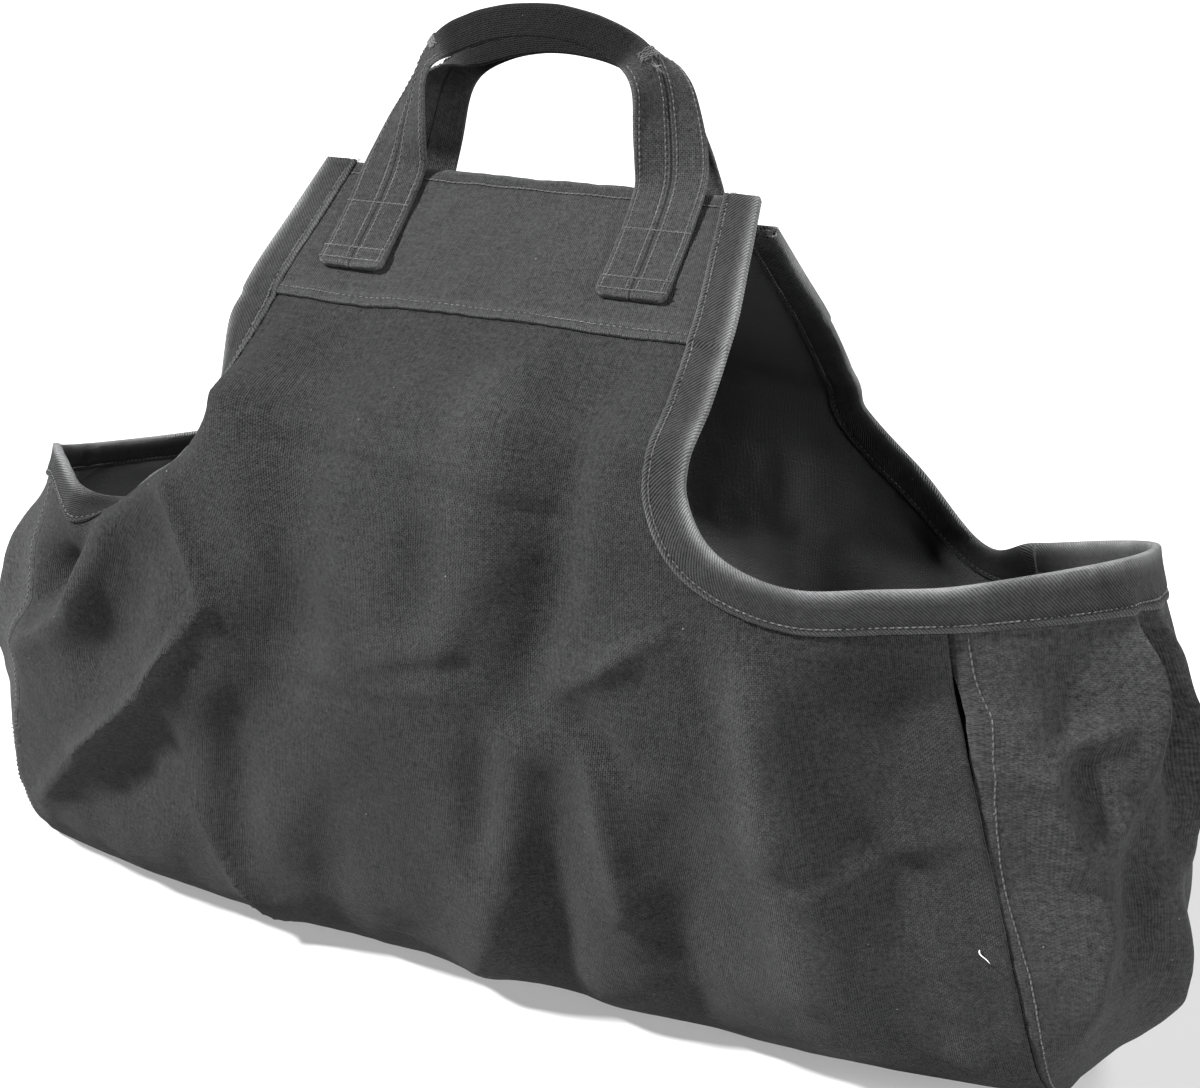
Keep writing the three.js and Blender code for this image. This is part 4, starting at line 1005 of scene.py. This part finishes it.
tapes = {}
for side, label in ((-1, "left"), (1, "right")):
    base, normals, cover = tape_base(side)
    for end, near in ((0, 1), (-1, -2)):
        step = base[end] - base[near]
        base[end] = base[end] + step / np.linalg.norm(step, axis=-1, keepdims=True) * 2.4
    run = np.concatenate([[0], np.cumsum(np.linalg.norm(np.diff(base[:, 5], axis=0), axis=-1))])
    beyond = unit(base[:, -1] - base[:, -3])[:, None]
    wavy = 1 + 0.22 * np.sin(2 * np.pi * run / 3.2)[:, None] * np.exp(-np.abs(leg_in - 15.2) / 1.5)
    wavy = wavy + 0.35 * np.stack([ripple(run, run * 0 + w, 91 + side, 20, 40, 8) for w in leg_in], -1)
    outer_leg = base + normals * (cover + leg_out * wavy)[..., None]
    inner_leg = base - normals * (SHEET_THICK + leg_out * wavy)[..., None]
    edge, edge_normal = base[:, -1:], normals[:, -1:]
    crown_away = np.array([row[0] for row in CROWN])[None, :, None]
    crown_out = np.array([row[1] for row in CROWN])[None, :, None]
    crown = edge + beyond * crown_away + edge_normal * (crown_out + cover[:, -1:, None] * (crown_out > 0))
    face = np.concatenate([outer_leg, crown, inner_leg[:, ::-1]], axis=1)
    under_out = base + normals * (cover + SEAM_GAP)[..., None]
    under_in = base - normals * (SHEET_THICK + SEAM_GAP)
    share = np.linspace(0, 1, len(CROWN) + 2)[None, 1:-1, None]
    under_crown = mix(under_out[:, -1:], under_in[:, -1:], share) + beyond * SEAM_GAP
    under = np.concatenate([under_out, under_crown, under_in[:, ::-1]], axis=1)
    faces = grid_faces(*face.shape[:2])
    a, b, c = face[40, 8], face[40, 9], face[41, 8]
    if np.dot(np.cross(b - a, c - a), normals[40, 8]) < 0:
        faces = faces[:, ::-1]
    width = np.concatenate([18.5 - leg_in, 18.6 + np.linspace(0.5, 3.5, len(CROWN)), 22.5 + leg_in[::-1]])
    uv = np.stack(np.broadcast_arrays(run[:, None], width[None, :]), -1)
    rub = 0.75 + 0.5 * ripple(run, run * 0, 95 + side, 20, 120, 14)
    wear_and_painted_light = np.concatenate([TAPE_WEAR, np.full(len(CROWN), 0.95), TAPE_WEAR[::-1]]) * rub[:, None]
    # Painted shade along the tape's stitch groove, 15.2 mm in from the edge.
    painted_shade_and_darkening = np.concatenate([np.exp(-(((leg_in - 15.2) / 0.6) ** 2)), np.zeros(len(CROWN) + len(LEG))])
    tape = add_shell(
        f"rim_binding_{label}", face, under, faces, TWILL_TAPE, "tape", uv,
        {"wear_and_painted_light": np.clip(wear_and_painted_light, 0, 1), "painted_shade_and_darkening": np.broadcast_to(painted_shade_and_darkening * 0.6, wear_and_painted_light.shape)},
    )
    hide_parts(f"rim_tape_{label}")
    row = base[:, 4] + normals[:, 4] * (cover[:, 4] + 1.15)[:, None]
    under_row = base[:, 4] - normals[:, 4] * (SHEET_THICK + 1.15)
    add_stitches(
        f"rim_binding_{label}_stitches",
        [stitch_parts(row[2:-2], normals[2:-2, 4]), stitch_parts(under_row[2:-2], -normals[2:-2, 4])],
        "tape",
    )
    tapes[label] = base, normals, cover

# Flap tops: a second layer of canvas sewn to each flap, rolled over its top edge, with a row of
# stitches under the roll and another above its turned-in lower edge.
ROLL = 2.3
for name in ("front", "back"):
    top = WALLS[name]["top_girth"]
    down = np.concatenate([[84.0, 83.6, 82.5], np.linspace(81, 0, 62)])
    a = np.linspace(-NOTCH, NOTCH, 120) * 0.99
    points, normals = wall_surface(name, a[None, :], top - down[:, None])
    hem = 0.7 * ease(down, 77, 79) * ease(84.2 - down, 0, 0.8)
    groove = 0.5 * np.exp(-(((down - 79.5) / 0.9) ** 2)) + 0.45 * np.exp(-(((down - 6) / 0.9) ** 2))
    seed = 53 if name == "front" else 59
    soft = 0.35 * ripple(a[None, :] * 237 + down[:, None] * 0, down[:, None] + a * 0, seed, 24, 60, 12, 1.2)
    tuck = 1 + 0.25 * np.sin(2 * np.pi * a[None, :] * 237 / 3.2) * np.exp(-np.abs(down[:, None] - 79.5) / 2)
    out = (FACING_THICK + (hem - groove)[:, None] * tuck + soft * ease(down, 0, 14)[:, None]) + SEAM_GAP
    face = points + normals * out[..., None]
    under = points + normals * SEAM_GAP
    up = unit(points[-1] - points[-3])
    centre = points[-1] - normals[-1] * SHEET_THICK / 2
    angles = np.radians([20, 45, 70, 90, 110, 135, 160, 180])[:, None, None]
    arc = normals[-1] * np.cos(angles) + up * np.sin(angles)
    tail_down = np.array([2.0, 4, 7, 10, 12])[:, None]
    tail, tail_normals = wall_surface(name, a[None, :], top - tail_down)
    face = np.concatenate([face, centre + arc * ROLL, tail - tail_normals * (SHEET_THICK + FACING_OUT)])
    under = np.concatenate([under, centre + arc * (ROLL - FACING_THICK), tail - tail_normals * (SHEET_THICK + SEAM_GAP)])
    faces = grid_faces(*face.shape[:2])
    p, q, r = face[20, 50], face[20, 51], face[21, 50]
    if np.dot(np.cross(q - p, r - p), normals[20, 50]) < 0:
        faces = faces[:, ::-1]
    length = np.concatenate([[0], np.cumsum(np.linalg.norm(np.diff(face[:, 60], axis=0), axis=-1))])
    uv = np.stack(np.broadcast_arrays(a[None, :] * 237, length[:, None]), -1)
    rows = len(down)
    # Paler tone on the facing: the flat 0.14 all over is painted light, the flap tops lightened as a whole as they
    # tilt up to the light; the extra along the turned-in lower edge and over the top roll and its tail is rubbed
    # wear.
    wear_and_painted_light = np.full(face.shape[:2], 0.14)
    wear_and_painted_light[:rows] += (0.35 * np.exp(-((down - 84) / 1.2) ** 2) + 0.18 * np.exp(-((down - 79) / 2.5) ** 2))[:, None]
    wear_and_painted_light[rows - 1 :] += 0.3
    # Painted shade in the stitch grooves 79.5 mm and 6 mm below the top.
    painted_shade_and_darkening = np.zeros(face.shape[:2])
    painted_shade_and_darkening[:rows] += (0.5 * np.exp(-(((down - 79.5) / 0.8) ** 2)) + 0.5 * np.exp(-(((down - 6) / 0.8) ** 2)))[:, None]
    facing = add_shell(
        f"flap_facing_{name}", face, under, faces, CANVAS, "canvas", uv, {"wear_and_painted_light": wear_and_painted_light, "painted_shade_and_darkening": painted_shade_and_darkening}
    )
    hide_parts(f"top_facing_{name}")
    rows = []
    for drop in (79.5, 6.0):
        line_a = np.linspace(-NOTCH, NOTCH, 400) * 0.985
        line, line_normal = wall_surface(name, line_a, np.full(400, top - drop))
        rows.append(stitch_parts(line + line_normal * (FACING_OUT + 0.12), line_normal))
    add_stitches(f"flap_facing_{name}_stitches", rows, "canvas")

# Handles: canvas folded to a flat strap 35 mm wide whose two edges meet in a seam along its
# middle, sewn down each side of the seam and near both edges. Each end is box-stitched to the
# facing, and the grip is folded in half and held by a bar tack at each end.
STRAP_HALF = 17.5
STRAP_THICK = 2.6
HANDLE_DROP = 65.0
HANDLE_STITCH_TOP = 25.0
HANDLES = {
    "front": dict(spacing=148, shift=0, top=498, grip=30),
    "back": dict(spacing=156, shift=-4, top=489, grip=7),
}
STATION_COLUMNS = ("up", "along", "out", "turn", "lift", "fold")
STATIONS = [
    (0.15, 0.985, 0.7, 22, 8, 2),
    (0.36, 0.945, 0.35, 42, 6, 3),
    (0.5, 0.92, 0.15, 54, 8, 5),
    (0.65, 0.87, 0.05, 62, 18, 12),
    (0.79, 0.77, 0, 68, 46, 46),
    (0.885, 0.6, 0, 75, 72, 74),
    (0.97, 0.32, 0, 80, 84, 76),
    (1, 0, 0, 90, 90, 76),
]


def handle_stops(name, side):
    """Stops from a sewn foot to mid grip: point, the way the strap faces, and its fold."""
    wall, form = WALLS[name], HANDLES[name]
    foot = []
    for drop, lift in ((65, 0), (45, 0), (25, 0), (12.5, 0.5), (0, 1)):
        girth = np.array([wall["top_girth"] - drop])
        half_width = plain_wall(name, np.array([NOTCH]), girth)[0, 0]
        across = np.array([NOTCH * (side * form["spacing"] / 2 + form["shift"]) / half_width])
        face = plain_normal(name, across, girth)[0]
        out = FACING_OUT + SEAM_GAP + STRAP_THICK * (1 + lift)
        foot.append((*(plain_wall(name, across, girth)[0] + face * out), *face, 0.0))
    edge = foot[-1]
    arch = []
    for up, along, out, turn, lift, fold in STATIONS:
        turned, raised = math.radians(turn), math.radians(lift)
        point = (
            side * form["spacing"] / 2 * along + form["shift"],
            wall["side"] * mix(form["grip"], abs(edge[1]), out),
            mix(edge[2], form["top"], up),
        )
        level = math.cos(raised)
        face = (side * level * math.sin(turned), wall["side"] * level * math.cos(turned), math.sin(raised))
        arch.append((*point, *face, math.radians(fold)))
    return foot + arch


GRIP_SIGN = {"front": -1, "back": 1}
section_share = np.unique(np.concatenate([np.linspace(-1, 1, 41), [-0.97, 0.97, -0.12, 0.12, -0.05, 0.05]]))
for name, form in HANDLES.items():
    stops = np.array(handle_stops(name, 1) + handle_stops(name, -1)[-2::-1])
    # The side that faces -Y of the front handle and +Y of the back one looks out of the bag.
    stops[:, 1] = np.where(np.arange(len(stops)) < 0, 0, stops[:, 1])
    knots = np.concatenate([[0], np.cumsum(np.linalg.norm(np.diff(stops[:, :3], axis=0), axis=1))])
    at = np.linspace(0, knots[-1], 340)
    line = smooth_curve(knots, stops[:, :3], at)
    ahead = smooth_curve(knots, stops[:, :3], np.minimum(at + 1, knots[-1]))
    behind = smooth_curve(knots, stops[:, :3], np.maximum(at - 1, 0))
    along = unit(soften(ahead - behind, 4))
    line = np.concatenate([line[:6], soften(line, 5)[6:-6], line[-6:]])
    facing_way = soften(smooth_curve(knots, stops[:, 3:6], at), 5)
    across = unit(np.cross(along, facing_way))
    face_way = np.cross(across, along)
    fold = soften(smooth_curve(knots, stops[:, 6], at), 6)
    share = section_share
    angle = fold[:, None] * ease(np.abs(share), 0.0, 0.26)[None, :]
    from_end = np.minimum(at, knots[-1] - at)
    rounded = 4 - np.minimum(from_end, 4)
    half = STRAP_HALF - 4 + np.sqrt(16.5 - rounded**2)
    step = np.diff(share)[None, :] * half[:, None]
    half_angle = (angle[:, 1:] + angle[:, :-1]) / 2
    zero = np.argmin(np.abs(share))
    side_run = np.concatenate([np.zeros((len(at), 1)), np.cumsum(np.cos(half_angle) * step, axis=1)], axis=1)
    side_run -= side_run[:, zero : zero + 1]
    drop_run = np.concatenate([np.zeros((len(at), 1)), np.cumsum(-np.sin(half_angle) * np.sign(share[1:] + share[:-1]) * step, axis=1)], axis=1)
    drop_run -= drop_run[:, zero : zero + 1]
    middle = line[:, None] + across[:, None] * side_run[..., None] + face_way[:, None] * drop_run[..., None]
    signed = angle * np.sign(share)
    normal = unit(face_way[:, None] * np.cos(signed)[..., None] + across[:, None] * np.sin(signed)[..., None])
    relief = -0.6 * np.exp(-((share / 0.035) ** 2)) - 0.22 * np.exp(-(((np.abs(share) - 0.15) / 0.05) ** 2))
    relief = relief - 0.2 * np.exp(-(((np.abs(share) - 0.86) / 0.05) ** 2))
    relief = relief - 0.8 * ease(np.abs(share), 0.93, 1.0)
    lip = 1.3 * ease(12 - from_end, 0, 2) * ease(from_end, -0.5, 1.6)
    seed = 63 if name == "front" else 67
    soft = 0.45 * ripple(at[:, None] + share * 0, share[None, :] * 17.5 + at[:, None] * 0, seed, 24, 60, 10, 1.2)
    wave = 0.12 * np.sin(2 * np.pi * at / 3.2)[:, None] * np.exp(-np.abs(np.abs(share) - 0.86) / 0.06)
    out = relief[None, :] + lip[:, None] + soft + wave
    face = middle + normal * out[..., None]
    edge_in = 0.5 * ease(np.abs(share), 0.93, 1.0)
    under = middle - normal * (STRAP_THICK - edge_in)[None, :, None]
    faces = grid_faces(*face.shape[:2])
    p, q, r = face[20, 12], face[20, 13], face[21, 12]
    if np.dot(np.cross(q - p, r - p), normal[20, 12]) < 0:
        faces = faces[:, ::-1]
    uv = np.stack(np.broadcast_arrays(share[None, :] * STRAP_HALF, at[:, None]), -1)
    wear_and_painted_light = 0.12 + 0.5 * ease(np.abs(share), 0.9, 1)[None, :] + 0.35 * np.exp(-((from_end / 1.5) ** 2))[:, None]
    wear_and_painted_light = wear_and_painted_light * (0.8 + 0.6 * ripple(at[:, None] + share * 0, share[None, :] * 9 + at[:, None] * 0, seed + 1))
    # Painted shade in the groove of the middle seam, and the folded grip made darker all over.
    painted_shade_and_darkening = 0.9 * np.exp(-((share / 0.03) ** 2))[None, :] + 0.95 * ease(fold, 0.5, 1.15)[:, None]
    handle = add_shell(
        f"handle_strap_{name}", face, under, faces, STRAP_CANVAS, "strap", uv,
        {"wear_and_painted_light": np.clip(wear_and_painted_light, 0, 1), "painted_shade_and_darkening": np.clip(painted_shade_and_darkening, 0, 1)}, shade=0.0,
    )
    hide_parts(f"handle_{name}")
    rows = []
    grip_start = mix(knots[8], knots[9], 0.75)
    legs = np.flatnonzero(from_end < grip_start)
    halves = legs[legs < len(at) // 2][3:], legs[legs > len(at) // 2][:-3]
    for column in (-0.86, -0.15, 0.15, 0.86):
        k = np.argmin(np.abs(share - column))
        rows += [stitch_parts(face[i, k] + normal[i, k] * 0.1, normal[i, k]) for i in halves]
    for drop in (3.5, 10.0, HANDLE_DROP - HANDLE_STITCH_TOP):
        for end in (0, 1):
            i = np.argmin(np.abs(at - (drop if end == 0 else knots[-1] - drop)))
            inner = slice(2, -2)
            rows.append(stitch_parts(face[i, inner] + normal[i, inner] * 0.1, normal[i, inner], pitch=2.9))
    add_stitches(f"handle_strap_{name}_stitches", rows, "strap")
    tacks = []
    for end in (grip_start, knots[-1] - grip_start):
        for plate in (-1, 1):
            ks = np.flatnonzero((share * plate > 0.04) & (share * plate < 0.5))
            for shift in (-1.6, 0, 1.6):
                j = np.argmin(np.abs(at - end - shift))
                zig = face[j, ks] + along[j] * (0.8 * (-1.0) ** np.arange(len(ks)))[:, None]
                tacks.append(stitch_parts(zig + normal[j, ks] * 0.3, normal[j, ks], 2.2, 0.34, 1.05))
    add_stitches(f"handle_strap_{name}_bar_tacks", tacks, "strap")

# Loose ends: frayed yarns at the binding's cut ends, a dark curl of thread at the front grip, a
# white bit of thread and a tuft caught in the end seams.
def strands(starts, ways, length, curl, radius, seed, count=9):
    """Tubes that leave each start along its way and bend by a smooth seeded wander."""
    rng = np.random.default_rng(seed)
    t = np.linspace(0, 1, count)[None, :, None]
    bend = rng.normal(0, 1, (len(starts), 2, 3))
    reach = length * rng.uniform(0.5, 1.1, (len(starts), 1, 1))
    line = starts[:, None] + unit(ways)[:, None] * t * reach
    line = line + (bend[:, :1] * t**2 + bend[:, 1:] * np.sin(t * 5) * 0.4) * curl * reach
    along = unit(np.gradient(line, axis=1))
    first = unit(np.cross(along, [0.31, 0.22, 0.93]))
    second = np.cross(along, first)
    turn = np.linspace(0, 2 * np.pi, 5, endpoint=False)[None, None, :, None]
    size = radius * (1 - 0.6 * t[..., None]) * np.sqrt(1 - 0.999 * np.abs(2 * t[..., None] - 1) ** 12)
    tube = line[:, :, None] + (first[:, :, None] * np.cos(turn) + second[:, :, None] * np.sin(turn)) * size
    start = np.arange(count * 5).reshape(count, 5)
    nxt = np.roll(start, -1, axis=1)
    cell = np.stack([start[:-1], nxt[:-1], nxt[1:], start[1:]], -1).reshape(-1, 4)
    faces = (cell[None] + (np.arange(len(line)) * start.size)[:, None, None]).reshape(-1, 4)
    return tube.reshape(-1, 3), faces


fray = []
for label, (base, normals, _) in tapes.items():
    for end, near, amount in ((0, 3, 8), (-1, -4, 26 if label == "right" else 8)):
        rng = np.random.default_rng(101 + amount)
        column = rng.integers(0, len(leg_in), amount)
        lift = rng.uniform(-SHEET_THICK, 1.4, (amount, 1))
        way = base[end, column] - base[near, column] + rng.normal(0, 2.5, (amount, 3))
        fray.append(strands(base[end, column] + normals[end, column] * lift, way, 5.5, 0.35, 0.16, 7 + amount))
starts = np.cumsum([0] + [len(points) for points, _ in fray[:-1]])
add_mesh(
    "frayed_yarns", np.concatenate([points for points, _ in fray]),
    np.concatenate([faces + start for (_, faces), start in zip(fray, starts)]), THREAD, "tape",
)
grip_corner = np.array([[62.0, -34.0, 472.0], [60.0, -36.0, 474.0]])
add_mesh("loose_thread", *strands(grip_corner, np.array([[1, -0.5, 0.3], [1, 0, -0.6]]), 11, 0.5, 0.3, 5, 14), THREAD, "strap")
bit_at, bit_out = wall_surface("front", np.array([0.957]), np.array([187.0]))
add_mesh("thread_bit", *strands(bit_at + bit_out, np.array([[0.3, -0.2, -1]]), 5.0, 0.6, 0.4, 3, 10), PALE_THREAD, "canvas")
tuft_at, tuft_out = wall_surface("front", np.full(14, -0.995), np.linspace(172, 190, 14))
add_mesh("seam_tuft", *strands(tuft_at + tuft_out * 0.5, tuft_out + [-1.0, 0, 0.2], 5, 0.5, 0.2, 9), THREAD, "canvas")

# Stage and light
floor_mesh = bpy.data.meshes.new("floor")
floor_mesh.from_pydata([(-40, -40, 0), (40, -40, 0), (40, 40, 0), (-40, 40, 0)], [], [(0, 1, 2, 3)])
floor = bpy.data.objects.new("floor", floor_mesh)
bpy.context.collection.objects.link(floor)
floor_material = bpy.data.materials.new("floor")
floor_material.use_nodes = True
floor_material.node_tree.nodes["Principled BSDF"].inputs["Base Color"].default_value = (0.3, 0.3, 0.3, 1)
floor_material.node_tree.nodes["Principled BSDF"].inputs["Roughness"].default_value = 0.9
floor_shader = floor_material.node_tree.nodes["Principled BSDF"]
floor_shader.inputs["Emission Color"].default_value = (1, 1, 1, 1)
floor_shader.inputs["Emission Strength"].default_value = 0.35
floor_mesh.materials.append(floor_material)

world = bpy.data.worlds.new("soft_studio")
world.use_nodes = True
sky = world.node_tree
direction = sky.nodes.new("ShaderNodeTexCoord")
split = sky.nodes.new("ShaderNodeSeparateXYZ")
sky.links.new(direction.outputs["Generated"], split.inputs[0])
seen = sky.nodes.new("ShaderNodeLightPath").outputs["Is Camera Ray"]
glow = remap(sky, split.outputs[1], -0.5, 0.2, 0.15, 1.0)
sky.links.new(calc(sky, "MAXIMUM", glow, calc(sky, "MULTIPLY", seen, 20.0)), sky.nodes["Background"].inputs[1])
bpy.context.scene.world = world
bpy.context.scene.view_settings.view_transform = "Standard"


def soft_sun(name, source, softness, power):
    """A distant soft lamp that shines from source towards the bag."""
    data = bpy.data.lights.new(name, "SUN")
    data.angle = math.radians(softness)
    data.energy = power
    made = bpy.data.objects.new(name, data)
    bpy.context.collection.objects.link(made)
    made.location = source
    made.rotation_euler = Vector(source).to_track_quat("Z", "Y").to_euler()


soft_sun("key", (-1.25, -1.15, 1.7), 7, 12.6)
soft_sun("right", (2.2, -0.2, 1.1), 18, 3.3)
soft_sun("fill", (0.9, -1.0, 0.6), 25, 0.9)
soft_sun("back", (0.5, 1.3, 1.0), 20, 3.0)
